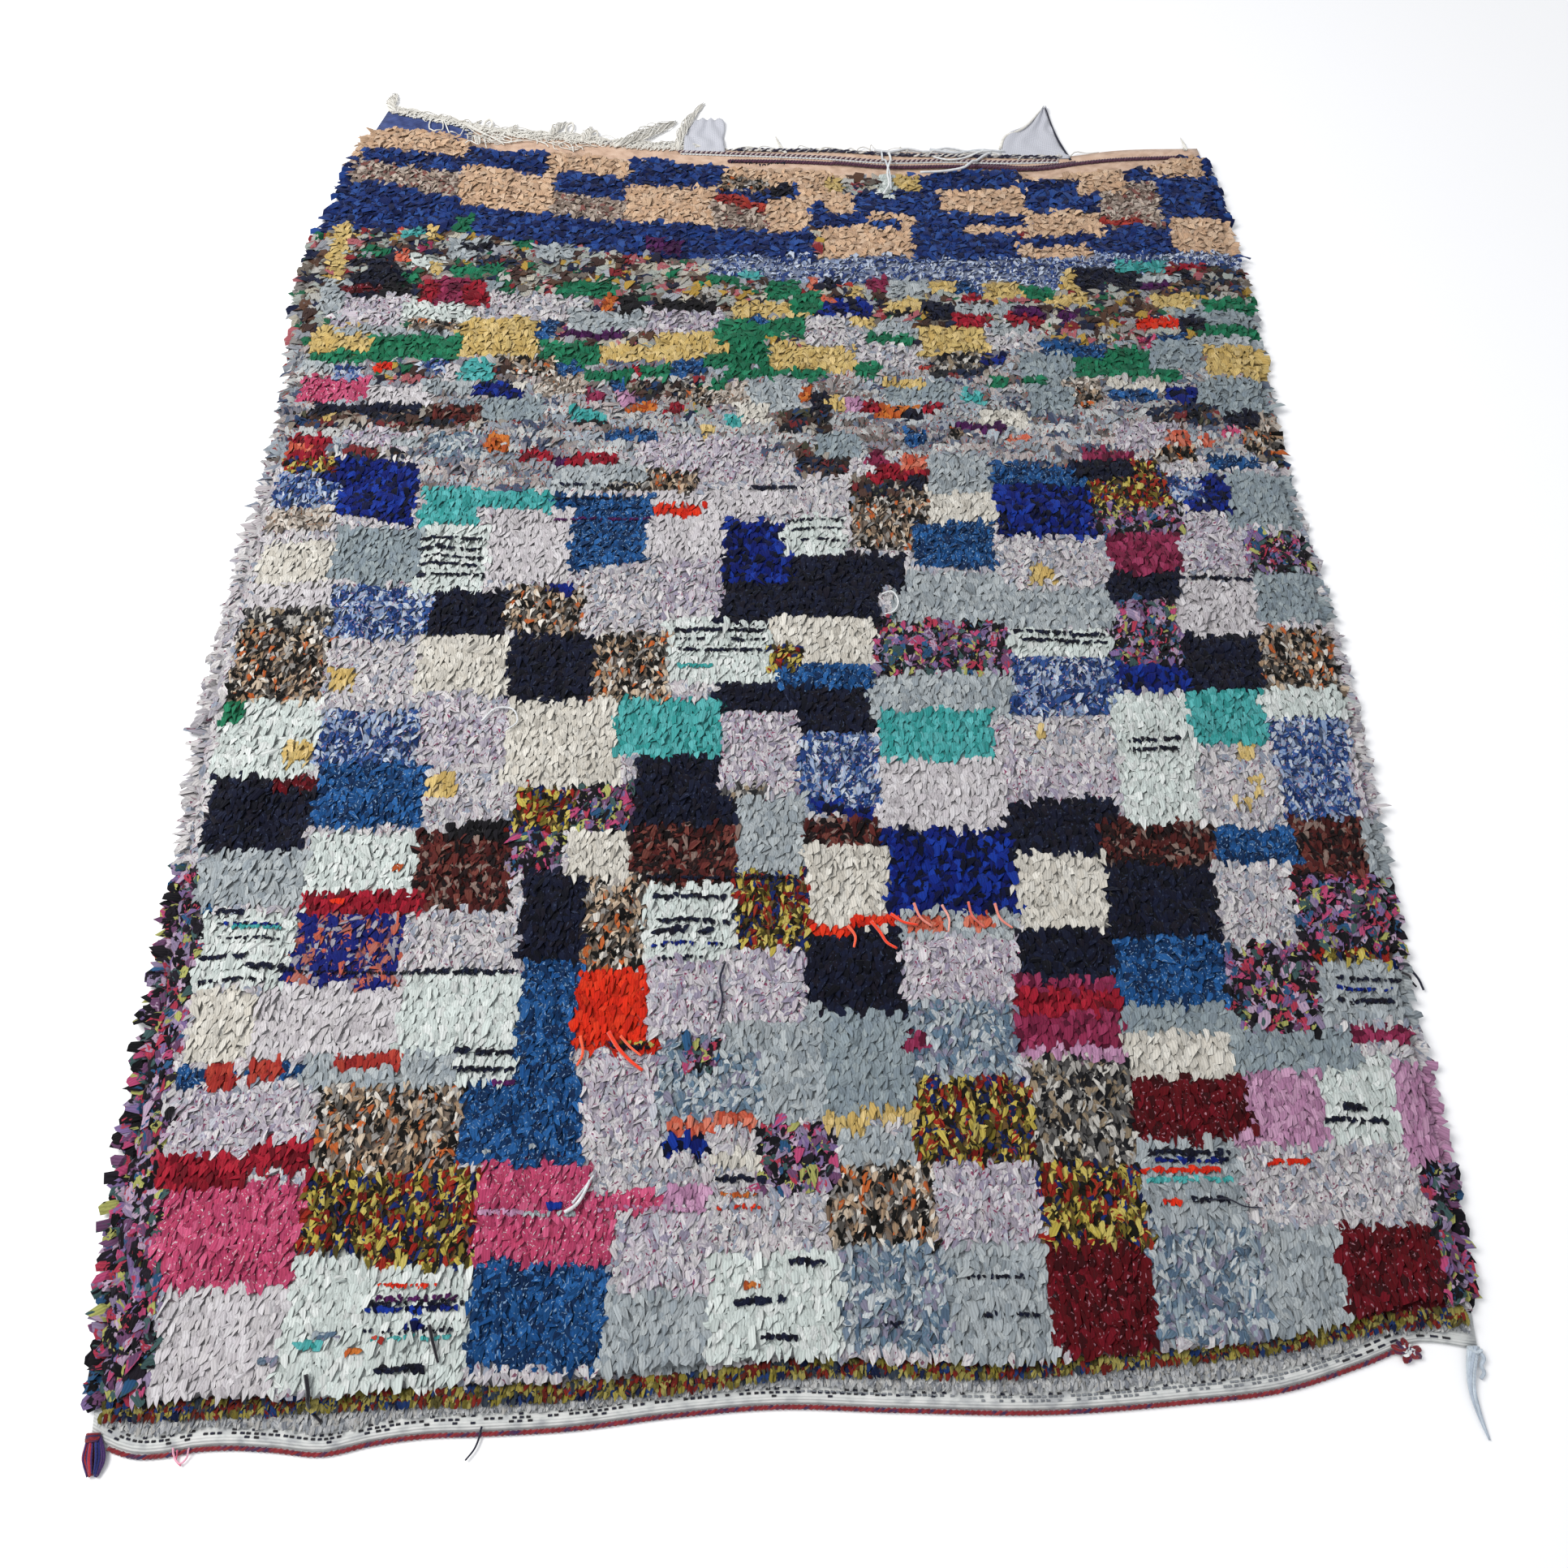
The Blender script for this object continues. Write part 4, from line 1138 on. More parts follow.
# Slanting ribs of spun yarn, drawn at the real distance
TWIST_PITCH = 0.0016

# Stitches across the near weave, from left to right place across, by how far they lie inside the
# edge, their spacing and length, and the share of them that shows
Stitches = namedtuple("Stitches", "yarn left right inside spacing length share")
STITCH_RADIUS = 0.0014
NEAR_STITCHES = (
    Stitches("dark", -0.735, 0.05, 0.0075, 0.0100, 0.0050, 0.30),
    Stitches("dark", -0.735, 0.15, 0.0110, 0.0076, 0.0044, 0.75),
    Stitches("dark", -0.735, 0.60, 0.0145, 0.0105, 0.0046, 0.40),
    Stitches("slate", 0.00, 0.62, 0.0120, 0.0062, 0.0042, 0.90),
    Stitches("slate", 0.20, 0.62, 0.0080, 0.0064, 0.0038, 0.65),
    Stitches("dark", 0.60, 0.735, 0.0060, 0.0140, 0.0080, 0.80),
    Stitches("dark", 0.58, 0.735, 0.0120, 0.0120, 0.0070, 0.60),
)
STITCH_STRAY = 0.0008
STITCH_LIFT = 0.0005

Row = namedtuple("Row", "yarn radius pitch places")
FAR_ROWS = (
    Row("scallop", 0.0022, 0.022, ((-34.6, 206.9), (-18.6, 205.6), (-3.6, 204.9), (6, 204.8), (17.4, 203.7),
                                   (31.4, 203.3), (47.6, 203.0))),
    Row("ticking", 0.0015, 0.011, ((-73.4, 214.9), (-70, 214.2), (-66.6, 213.2), (-61.6, 211.4),
                                   (-58.3, 208.4))),
    Row("dotted", 0.0017, 0.009, ((-21.4, 204.6), (-3.4, 203.6), (4.9, 203.1), (15.7, 202.0), (27, 202.2),
                                  (36.7, 201.8), (46.9, 202.1))),
    Row("aubergine", 0.0022, 0.010, ((-12.4, 201.9), (-3.2, 201.8), (7.6, 201.1), (15.6, 200.1),
                                     (26.9, 200.2),
                                     (33.9, 200.1), (39.7, 199.5), (45.2, 200.1), (50.7, 201.3),
                                     (56.1, 202.1),
                                     (68.7, 202.9))),
    Row("aubergine", 0.0016, 0.010, ((31, 200.9), (36, 200.8), (40.5, 200.3), (45.2, 200.8), (50.0, 201.7))),
    Row("white", 0.0010, 0.012, ((-21, 204.0), (-3.4, 203.1), (4.9, 202.6), (15.7, 201.5), (27, 201.7),
                                 (36.7, 201.4), (46.9, 201.7))),
)

# Yarns that lie loose over the rug
Loose = namedtuple("Loose", "yarn radius places")
LOOSE = (
    Loose("cotton", 0.0014, ((-66.5, 215), (-67.3, 212.5), (-66, 209.8), (-64.6, 210.8), (-65.2, 214))),
    Loose("cotton", 0.0013, ((-65.6, 215.2), (-64.6, 212.6), (-62.6, 209.6), (-60.8, 210.6))),
    Loose("cotton", 0.0015, ((-64, 214.4), (-60.5, 211.4), (-58, 208.8), (-55, 207.2))),
    Loose("cotton", 0.0014, ((-62, 213), (-58.5, 210), (-55, 208), (-51.5, 206.8))),
    Loose("cotton", 0.0015, ((-60, 211.5), (-56, 208.5), (-52.5, 206.6), (-50, 207.6))),
    Loose("white", 0.0024, ((14, 204.9), (17, 204.0), (20, 205.3), (23, 204.3), (27, 205.6), (31, 204.6),
                            (36, 204.9))),
    Loose("white", 0.0022, ((16.4, 204.8), (16.8, 202), (16.1, 198.4), (16.3, 195.5), (15.2, 193))),
    Loose("white", 0.0020, ((15.2, 205), (15.4, 201), (16.6, 198.0), (16.6, 194.2))),
    Loose("white", 0.0028, ((35, 204.2), (32.6, 202.0), (30, 200.4), (26.5, 199.5), (22, 199.1))),
    Loose("white", 0.0022, ((34, 205.2), (30.5, 202.6), (27, 201.9), (24.5, 202.7))),
    Loose("white", 0.0026, ((24.0, 205.2), (28.5, 204.2), (33, 205.0), (37.5, 204.6))),
    Loose("white", 0.0024, ((-26.6, 21.4), (-25.4, 22.2), (-24.6, 23.4), (-24.0, 25.0))),
    Loose("white", 0.0016, ((-25.8, 22.4), (-24.9, 23.6), (-23.6, 25.6))),
    Loose("white", 0.0016, ((-43.5, 86.2), (-41.6, 88.4), (-39.4, 88.2), (-38.6, 86.2), (-40.2, 84.8))),
    Loose("white", 0.0014, ((12.4, 107.6), (13.8, 108.2), (14.7, 106.4), (13.9, 104.4), (12.6, 104.0))),
    Loose("cotton", 0.0026, ((-57.3, 210.8), (-57.1, 212.8), (-56.5, 213.5), (-55.9, 212.7), (-56.2, 210.8))),
    Loose("cotton", 0.0024, ((-42.2, 209.8), (-41.9, 212.2), (-41.3, 212.6), (-40.9, 211.6), (-41.4, 209.4))),
    Loose("cotton", 0.0026, ((-37.6, 207.6), (-37.4, 209.8), (-36.8, 210.4), (-36.3, 209.4), (-36.8, 207.4))),
    Loose("orange", 0.0030, ((-23, 42.5), (-21.6, 40.4), (-20.2, 39.0), (-18.6, 37.8))),
    Loose("orange", 0.0020, ((-21.5, 42), (-20.2, 40.6), (-18.9, 39.6))),
    Loose("orange", 0.0022, ((-26.4, 42), (-26.0, 39.8), (-26.6, 38.4))),
    Loose("orange", 0.0024, ((9.5, 57), (10.6, 55.4), (11.4, 54.0), (12.6, 53.2))),
    Loose("orange", 0.0022, ((6.5, 56.4), (7.4, 54.9), (7.2, 53.4))),
    Loose("orange", 0.0022, ((12, 58), (13.6, 56.8), (15.4, 56.4))),
    Loose("coral", 0.0020, ((15, 59.4), (15.8, 57.4), (17.2, 56.2))),
    Loose("coral", 0.0018, ((18.6, 59.2), (19.4, 57.2), (19.2, 55.4))),
    Loose("coral", 0.0018, ((22, 59.6), (22.4, 57.6), (23.8, 56.0))),
    Loose("coral", 0.0020, ((25.4, 59.4), (26, 57.2), (27.4, 56))),
    Loose("dark", 0.0016, ((-9.0, 51.6), (-9.6, 49.2), (-9.2, 46.6), (-9.8, 44.0))),
    Loose("dark", 0.0026, ((-53.2, 4.6), (-52.6, 2.6), (-51.8, 1.0), (-50.6, 0.0))),
    Loose("dark", 0.0022, ((-40.6, 9.6), (-40.0, 7.8), (-39.2, 5.8))),
    Loose("dark", 0.0020, ((75.6, 51.4), (77.4, 51.6), (78.6, 50.2), (79.0, 48.6))),
    Loose("dark", 0.0018, ((76, 50.4), (77.6, 49.8), (78.2, 49.0))),
    Loose("dark", 0.0011, ((47.5, 22.8), (49.6, 23.0), (51.6, 22.2), (53.6, 22.0))),
    Loose("pink", 0.0013, ((-65.9, -2.4), (-65.6, -3.5), (-65.0, -3.9), (-64.4, -3.3), (-64.2, -2.4))),
    Loose("pink", 0.0011, ((-65.4, -2.6), (-65.5, -3.6), (-64.9, -4.1))),
    Loose("dark", 0.0013, ((-33.5, -0.4), (-34.2, -2.6), (-35.0, -3.6))),
)

# Twisted bundles of warp ends that stand out past the far edge
Lock = namedtuple("Lock", "at reach lean width yarns widest")
LOCKS = (
    Lock(-0.742, 0.054, 0.000, 0.022, 18, 0.70),
    Lock(-0.600, 0.020, 0.022, 0.010, 7, 0.6),
    Lock(-0.525, 0.028, 0.014, 0.014, 10, 0.6),
    Lock(-0.456, 0.044, 0.036, 0.020, 14, 0.65),
    Lock(-0.392, 0.040, 0.016, 0.020, 14, 0.6),
    Lock(-0.332, 0.066, 0.112, 0.034, 22, 0.68),
    Lock(-0.216, 0.128, 0.052, 0.021, 18, 0.50),
    Lock(-0.020, 0.044, -0.018, 0.008, 5, 0.3),
    Lock(0.180, 0.018, 0.006, 0.008, 5, 0.4),
)
FRINGE_LEFT = -0.748
FRINGE_DENSE_UNTIL = -0.190
FRINGE_RIGHT = 0.500
FRINGE_PITCH = 0.0075
FRINGE_THREADS = 5
WISP_PLACE = 0.700
WISP_REACH = 0.034
BUNDLE_POINTS = 12
BUNDLE_TURNS = 1.2

# Fringe threads that lie matted over the far weave, around a middle, in centimetres on the chart
Matted = namedtuple("Matted", "across along spread_across spread_along threads")
MATTED = (
    Matted(-55, 208.3, 4.8, 1.9, 34),
    Matted(-41, 206.6, 3.2, 1.3, 16),
    Matted(-47, 207.6, 3.0, 1.0, 9),
    Matted(-30, 207.5, 3.0, 0.5, 7),
)

# The gauze flaps at the far edge, by their left and right sides from root to tip
FLAP_CELLS_ACROSS = 16
FLAP_CELLS_ALONG = 20
FLAP_FOOT = 0.0018
FLAP_PLEAT = 0.0052
FLAP_THICKNESS = 0.0009
LEFT_FLAP = (((-20.4, 204.0), (-20.4, 208.0), (-19.8, 211.0), (-18.6, 213.4)),
             ((-12.9, 204.0), (-13.4, 208.0), (-13.2, 211.2), (-13.6, 213.2)))
RIGHT_FLAP = (((37.2, 202.6), (36.8, 205.6), (37.8, 208.6), (41.2, 211.0), (45.4, 216.8)),
              ((49.2, 202.4), (48.4, 204.8), (47.4, 208.2), (46.6, 212.2), (46.0, 217.0)))


def yarn_material(name):
    """Spun yarn: matte, with the slanting ribs of its twist, and its colour in runs or by the yarn."""
    kind = YARNS[name]
    material, tree, shader = new_material(kind.finish, 0.9, 0.3)
    seed = add_node(tree, "ShaderNodeAttribute", {"attribute_name": "seed"}).outputs["Fac"]
    place = add_node(tree, "ShaderNodeAttribute", {"attribute_name": "cloth"}).outputs["Vector"]
    if kind.run:
        runs = add_node(tree, "ShaderNodeTexNoise", {"Scale": 1 / kind.run, "Detail": 1.0},
                        {"Vector": place})
        stops = [(0.32 + 0.36 * place, colour) for place, colour in even_stops(kind.colours)]
        colour = add_node(tree, "ShaderNodeValToRGB", {"stops": stops}, {0: runs.outputs[0]}).outputs["Color"]
    else:
        ramp = {"interpolation": "CONSTANT", "stops": even_stops(kind.colours)}
        colour = add_node(tree, "ShaderNodeValToRGB", ramp, {0: seed}).outputs["Color"]
    worn = add_node(tree, "ShaderNodeTexNoise", {"Scale": 120.0, "Detail": 2.0}, {"Vector": place})
    shade = add_node(tree, "ShaderNodeMapRange", {
        "From Min": 0.3, "From Max": 0.7, "To Min": 0.8, "To Max": 1.1}, {"Value": worn.outputs[0]})
    lit = add_node(tree, "ShaderNodeVectorMath", {"operation": "SCALE"},
                   {0: colour, "Scale": shade.outputs[0]})
    tree.links.new(lit.outputs[0], shader.inputs["Base Color"])
    ribs = add_node(tree, "ShaderNodeTexWave", {
        "bands_direction": "DIAGONAL", "Scale": WAVE_PERIOD_AT_SCALE_ONE / TWIST_PITCH}, {"Vector": place})
    bump = add_node(tree, "ShaderNodeBump", {"Strength": 0.5, "Distance": 0.0005},
                    {"Height": ribs.outputs["Fac"]})
    tree.links.new(bump.outputs[0], shader.inputs["Normal"])
    return material


yarn_finishes = {}


def lay_yarns(name, yarn, paths, radii, sides=5, taper=1.0, seeds=None):
    """Join yarns that follow the given paths, all with the same number of points."""
    centre = np.array(paths, float)
    count, rings = centre.shape[:2]
    turns = np.arange(sides) * math.tau / sides
    circle = np.stack([np.cos(turns), np.sin(turns)], 1)
    _, faces = draw_out([[Vector((a, b, k)) for a, b in circle] for k in range(rings)])
    ahead = np.gradient(centre, axis=1)
    ahead /= np.maximum(np.linalg.norm(ahead, axis=2, keepdims=True), 1e-9)
    side = np.stack([ahead[:, :, 1], -ahead[:, :, 0], ahead[:, :, 0] * 0], 2)
    level = np.linalg.norm(side, axis=2, keepdims=True)
    side = np.where(level > 0.05, side / np.maximum(level, 0.05), (1.0, 0.0, 0.0))
    lift = np.cross(ahead, side)
    radius = np.array(radii, float).reshape(-1, 1) * np.linspace(1, taper, rings)
    around = circle[:, 0, None] * side[:, :, None] + circle[:, 1, None] * lift[:, :, None]
    spots = centre[:, :, None] + radius[:, :, None, None] * around
    spots[..., 2] = np.maximum(spots[..., 2], 0.0004)
    steps = np.linalg.norm(np.diff(centre, axis=1), axis=2)
    along = np.concatenate([np.zeros((count, 1)), np.cumsum(steps, 1)], 1)
    if seeds is None:
        seeds = (np.arange(count) + 0.5) * 0.618 % 1.0
    seeds = np.array(seeds, float)
    place = np.stack(np.broadcast_arrays(
        radius[:, :, None] * turns + seeds[:, None, None] * 3, along[:, :, None], 0.0), 3)
    mesh = join_copies(name, spots.reshape(count, -1, 3), faces, {
        "seed": np.repeat(seeds, rings * sides),
        "cloth": place.reshape(count, -1, 3),
    })
    if yarn not in yarn_finishes:
        yarn_finishes[yarn] = yarn_material(yarn)
    return link_piece(name, mesh, yarn_finishes[yarn])


def run_through(points, count):
    """A smooth path of so many even steps through points."""
    points = np.array(points, float)
    along = np.concatenate([[0], np.cumsum(np.linalg.norm(np.diff(points, axis=0), axis=1))])
    at = np.linspace(0, along[-1], count)
    return np.stack([smooth_between(along, points[:, k], at) for k in range(3)], 1)


def from_chart(places, height):
    """Points in the frame for places on the chart, at a height above the floor."""
    shrink = (1 - height / EYE_HEIGHT) / 100
    return [(x * shrink + CHART_SHIFT[0], y * shrink + CHART_SHIFT[1], height) for x, y in places]


def spots_under(places):
    """Points in the frame for places on the chart, at the height of the pile, weave or floor there."""
    spots = []
    for across, along in places:
        if along > chart_line(PILE_FAR_END, across):
            height = WEAVE_THICKNESS
        else:
            height = PILE_TOP if along > 1 else 0.0
        spots += from_chart([(across, along)], height)
    return spots


def lay_over(path, above):
    """Drop a path on to the rug, or on the floor past its edge."""
    path = np.array(path)
    down = Vector((0.0, 0.0, -1.0))
    for spot in path:
        hit = pile_top.ray_cast(Vector((spot[0], spot[1], 1.0)), down)[0]
        spot[2] = (0.0 if hit is None else hit.z) + above
    path[1:-1, 2] = (path[:-2, 2] + 2 * path[1:-1, 2] + path[2:, 2]) / 4
    return path


def twist_pair(centre, spread, lift, pitch):
    """Two plies wound round each other along a centre line."""
    steps = np.linalg.norm(np.diff(centre, axis=0), axis=1)
    along = np.concatenate([[0], np.cumsum(steps)])
    ahead = np.gradient(centre, axis=0)
    side = np.stack([ahead[:, 1], -ahead[:, 0]], 1)
    side /= np.linalg.norm(side, axis=1, keepdims=True)
    plies = []
    for start in (0.0, math.pi):
        angle = math.tau * along / pitch + start
        swing = np.concatenate([side * (np.cos(angle) * spread)[:, None], (np.sin(angle) * lift)[:, None]], 1)
        plies.append(centre + swing)
    return plies


def near_line(inside, height, start, end, count):
    """A line along the near edge, so far inside it, between two shares of its width."""
    x, y = cloth_place(np.linspace(start, end, count), np.zeros(count))
    path = np.stack([x, y, np.full(count, height)], 1)
    ahead = np.gradient(path[:, :2], axis=0)
    ahead /= np.linalg.norm(ahead, axis=1, keepdims=True)
    path[:, 0] -= ahead[:, 1] * inside
    path[:, 1] += ahead[:, 0] * inside
    return path


def share_across(across):
    """The share of the near edge's width at a place across the rug."""
    return (across - NEAR_END[0].across) / (NEAR_END[-1].across - NEAR_END[0].across)


def build_edging():
    """Two-ply cord along the near edge, and the dark stitches that bind the near weave."""
    centre = near_line(-CORD_OUTSIDE, CORD_RADIUS + CORD_LIFT, CORD_START, CORD_END, 420)
    cord = lay_yarns("edging_cord", "edging", twist_pair(centre, CORD_SPREAD, CORD_LIFT, CORD_PITCH),
                     [CORD_RADIUS] * 2, sides=6)
    dress(cord, "edging_yarn", "edge_cord")
    draw = np.random.default_rng(9)
    for yarn in ("dark", "slate"):
        stitches = []
        for row in NEAR_STITCHES:
            if row.yarn != yarn:
                continue
            for across in np.arange(row.left, row.right, row.spacing):
                if draw.random() < row.share:
                    middle = across + draw.uniform(-STITCH_STRAY, STITCH_STRAY)
                    stitches.append(near_line(row.inside, WEAVE_THICKNESS + STITCH_LIFT,
                                              share_across(middle - row.length / 2),
                                              share_across(middle + row.length / 2), 5))
        stitched = lay_yarns("near_weave_stitches_" + yarn, yarn, stitches, [STITCH_RADIUS] * len(stitches),
                             sides=4, taper=0.9)
        dress(stitched, "cotton_warp")


def build_far_rows():
    """Raised twined rows across the far weave."""
    for k, row in enumerate(FAR_ROWS):
        line = run_through(from_chart(row.places, WEAVE_THICKNESS), 50)
        count = round(np.linalg.norm(np.diff(line, axis=0), axis=1).sum() / row.pitch * 5)
        line = run_through(line, count)
        line = lay_over(line, row.radius * 0.9)
        line[:, 2] = np.minimum(line[:, 2], WEAVE_THICKNESS + 0.004)
        pair = twist_pair(line, row.radius * 1.1, row.radius * 0.6, row.pitch)
        twined = lay_yarns("far_twined_row_" + "abcdefgh"[k], row.yarn, pair, [row.radius] * 2, sides=4,
                           seeds=[0.2, 0.7])
        dress(twined, "cotton_warp")


def bundle(root, tip, width, yarns, draw, widest=0.0):
    """Yarns of a twisted bundle from its root to its tip."""
    root = np.array(root)
    tip = np.array(tip)
    share = np.linspace(0, 1, BUNDLE_POINTS)[:, None]
    ahead = (tip - root) / np.linalg.norm(tip - root)
    side = np.array([ahead[1], -ahead[0], 0.0])
    side /= np.linalg.norm(side)
    bow = side * draw.normal(0, 0.06) * np.linalg.norm(tip - root)
    girth = np.interp(share, (0, max(widest, 0.01), 1), (0.45 if widest else 1.0, 1.0, 0.25))
    paths = []
    for k in range(yarns):
        angle = math.tau * (k / yarns + BUNDLE_TURNS * share)
        swell = width / 2 * girth * draw.uniform(0.5, 1.1)
        swing = side * np.cos(angle) * swell + np.array([0, 0, 1]) * (0.3 + 0.3 * np.sin(angle)) * swell
        end = draw.uniform(0.85, 1.0)
        paths.append(root + (tip - root) * share * end + bow * np.sin(share * 2.6) + swing)
    return paths


def far_edge(x):
    """The far edge's place in the frame at a place across the rug."""
    return float(end_line(FAR_END, x)) + CHART_SHIFT[1]


def fringe_end(at, dense, draw):
    """One short warp end past the far edge, bent over to the right."""
    x = at + draw.uniform(-0.005, 0.005)
    out = draw.uniform(-0.006, 0.011) if dense else draw.uniform(-0.003, 0.004)
    lean = draw.uniform(0.014, 0.058)
    edge = far_edge(x)
    start = np.array([x + CHART_SHIFT[0], edge - draw.uniform(0.002, 0.012), WEAVE_THICKNESS + 0.0015])
    rise = far_edge(x + lean) - edge
    bend = draw.normal(0, 0.003, 2)
    return run_through([
        start,
        start + (lean * 0.2, rise * 0.2 + 0.009 + out * 0.6 + bend[0], 0.0008),
        start + (lean * 0.6, rise * 0.6 + 0.009 + out + bend[1], -0.0020),
        start + (lean, rise + 0.009 + out * draw.uniform(-0.6, 1.1), -0.0036),
    ], 9)


def matted_thread(knot, draw):
    """One thread of the matted fringe, curled over the far weave."""
    middle = np.array([knot.across + draw.uniform(-1, 1) * knot.spread_across,
                       knot.along + draw.uniform(-1, 1) * knot.spread_along])
    heading = draw.normal(-0.35, 0.5)
    step = np.array([math.cos(heading), math.sin(heading) * 0.8]) * draw.uniform(0.5, 1.1)
    side = np.array([-step[1], step[0]]) * draw.uniform(-0.9, 0.9)
    places = [middle - 2 * step, middle - step + side, middle, middle + step - side, middle + 2 * step]
    return lay_over(run_through(spots_under(places), 12), draw.uniform(0.001, 0.005))


def build_fringe():
    """Warp ends past the far edge: a short matted fringe, with loops and twisted locks."""
    draw = np.random.default_rng(11)
    short = []
    at = FRINGE_LEFT
    while at < FRINGE_RIGHT:
        dense = at < FRINGE_DENSE_UNTIL
        short += [fringe_end(at, dense, draw) for _ in range(FRINGE_THREADS if dense else 1)]
        at += FRINGE_PITCH if dense else FRINGE_PITCH * 3
    fringe = lay_yarns("warp_fringe_ends", "cotton", short, draw.uniform(0.0009, 0.0014, len(short)), sides=4,
                       taper=0.6)
    dress(fringe, "cotton_warp", "warp_fringe")
    long = []
    for lock in LOCKS:
        root = (lock.at + CHART_SHIFT[0], far_edge(lock.at) - 0.008, WEAVE_THICKNESS + 0.001)
        tip = (lock.at + lock.lean + CHART_SHIFT[0], far_edge(lock.at) + lock.reach, 0.0016)
        long += bundle(root, tip, lock.width, lock.yarns, draw, lock.widest)
    locks = lay_yarns("warp_locks", "cotton", long, draw.uniform(0.0009, 0.0013, len(long)), sides=4,
                      taper=0.6)
    dress(locks, "cotton_warp")
    root = (WISP_PLACE + CHART_SHIFT[0], far_edge(WISP_PLACE) - 0.006, WEAVE_THICKNESS + 0.001)
    tip = (WISP_PLACE - 0.003 + CHART_SHIFT[0], far_edge(WISP_PLACE) + WISP_REACH, 0.0016)
    wisp = lay_yarns("far_corner_wisp", "cotton", bundle(root, tip, 0.008, 6, draw), [0.0011] * 6,
                     sides=4, taper=0.5)
    dress(wisp, "cotton_warp", "corner_wisp")
    matted = [matted_thread(knot, draw) for knot in MATTED for _ in range(knot.threads)]
    threads = lay_yarns("matted_warp_threads", "cotton", matted, draw.uniform(0.0008, 0.0012, len(matted)),
                        sides=4)
    dress(threads, "cotton_warp")


def build_loose_yarns():
    """Yarns and rag strands that have worked loose and lie over the rug."""
    for name in sorted({item.yarn for item in LOOSE}):
        chosen = [item for item in LOOSE if item.yarn == name]
        paths = [lay_over(run_through(spots_under(item.places), 16), item.radius + 0.0025)
                 for item in chosen]
        yarns = lay_yarns("loose_" + name, name, paths, [item.radius for item in chosen], taper=0.7)
        dress(yarns, "cotton_warp" if name in ("white", "cotton") else "rag_pile")


def wrap_round(centre, radius, height, turns, lean):
    """A yarn wound round a bundle, as a tight coil."""
    share = np.linspace(0, 1, turns * 8)
    angle = math.tau * turns * share
    return np.stack([centre[0] + radius * np.cos(angle) + lean[0] * share,
                     centre[1] + lean[1] * share,
                     centre[2] + height * np.sin(angle)], 1)


TASSEL_YARNS = 34
TASSEL_YARN_RADIUS = 0.0015
KNOT_YARN_RADIUS = 0.0019
TAIL_POINTS = 22
TAIL_STRANDS = 9


def build_corner_tassel():
    """Wool ends bound at the near left corner: a wound head over a drop-shaped brush."""
    draw = np.random.default_rng(3)
    low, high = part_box("corner_tassel")
    middle = (low.x + high.x) / 2
    paths = []
    kinds = []
    for _ in range(TASSEL_YARNS):
        angle = draw.uniform(0, math.tau)
        side = math.cos(angle)
        rise = 0.5 + 0.5 * math.sin(angle)
        swell = draw.uniform(0.4, 1.0)
        kinds.append((0.08 if side < -0.1 else 0.36) + draw.random() * 0.3)
        paths.append(run_through([
            (middle - 0.005 + side * 0.006, high.y + 0.003, 0.0045 + rise * 0.003),
            (middle - 0.002 + side * 0.010 * swell, high.y - 0.008, 0.0022 + rise * 0.0085 * swell),
            (middle + side * 0.0125 * swell, high.y - 0.020, 0.0022 + rise * 0.0085 * swell),
            (middle + 0.002 + side * 0.006 * swell, low.y + draw.uniform(0.006, 0.012),
             0.0020 + rise * 0.003),
        ], 12))
    brush = lay_yarns("tassel_brush", "tassel", paths, [TASSEL_YARN_RADIUS] * TASSEL_YARNS, taper=0.7,
                      seeds=kinds)
    dress(brush, "edging_yarn", "corner_tassel")
    coil = wrap_round((middle - 0.005, high.y + 0.003, 0.0062), 0.0070, 0.0046, 5, (0.001, -0.008, 0))
    head = lay_yarns("tassel_head", "edging", [coil], [TASSEL_YARN_RADIUS])
    dress(head, "edging_yarn")


def build_cord_end_knot():
    """The cord's right end, knotted in a rosette of small yarn loops."""
    draw = np.random.default_rng(4)
    centre = np.array(from_chart([(66.9, 6.9)], 0.004)[0])
    for yarn, loops, reach in (("edging", 11, 0.016), ("white", 6, 0.010)):
        paths = []
        for k in range(loops):
            angle = math.tau * k / loops + draw.uniform(-0.45, 0.45)
            out = np.array([math.cos(angle), math.sin(angle) * 0.75, 0.0]) * reach * draw.uniform(0.55, 1.15)
            side = np.array([-math.sin(angle), math.cos(angle) * 0.75, 0.0]) * 0.0024
            rise = (0, 0, draw.uniform(0.0, 0.003))
            paths.append(run_through([centre + out * 0.15, centre + out * 0.7 + side + rise, centre + out,
                                      centre + out * 0.7 - side, centre + out * 0.2 - side * 0.5 + rise], 12))
        ends = lay_yarns("cord_knot_" + yarn, yarn, paths, [KNOT_YARN_RADIUS] * loops)
        dress(ends, "edging_yarn", *(["cord_end_knot"] if yarn == "edging" else []))


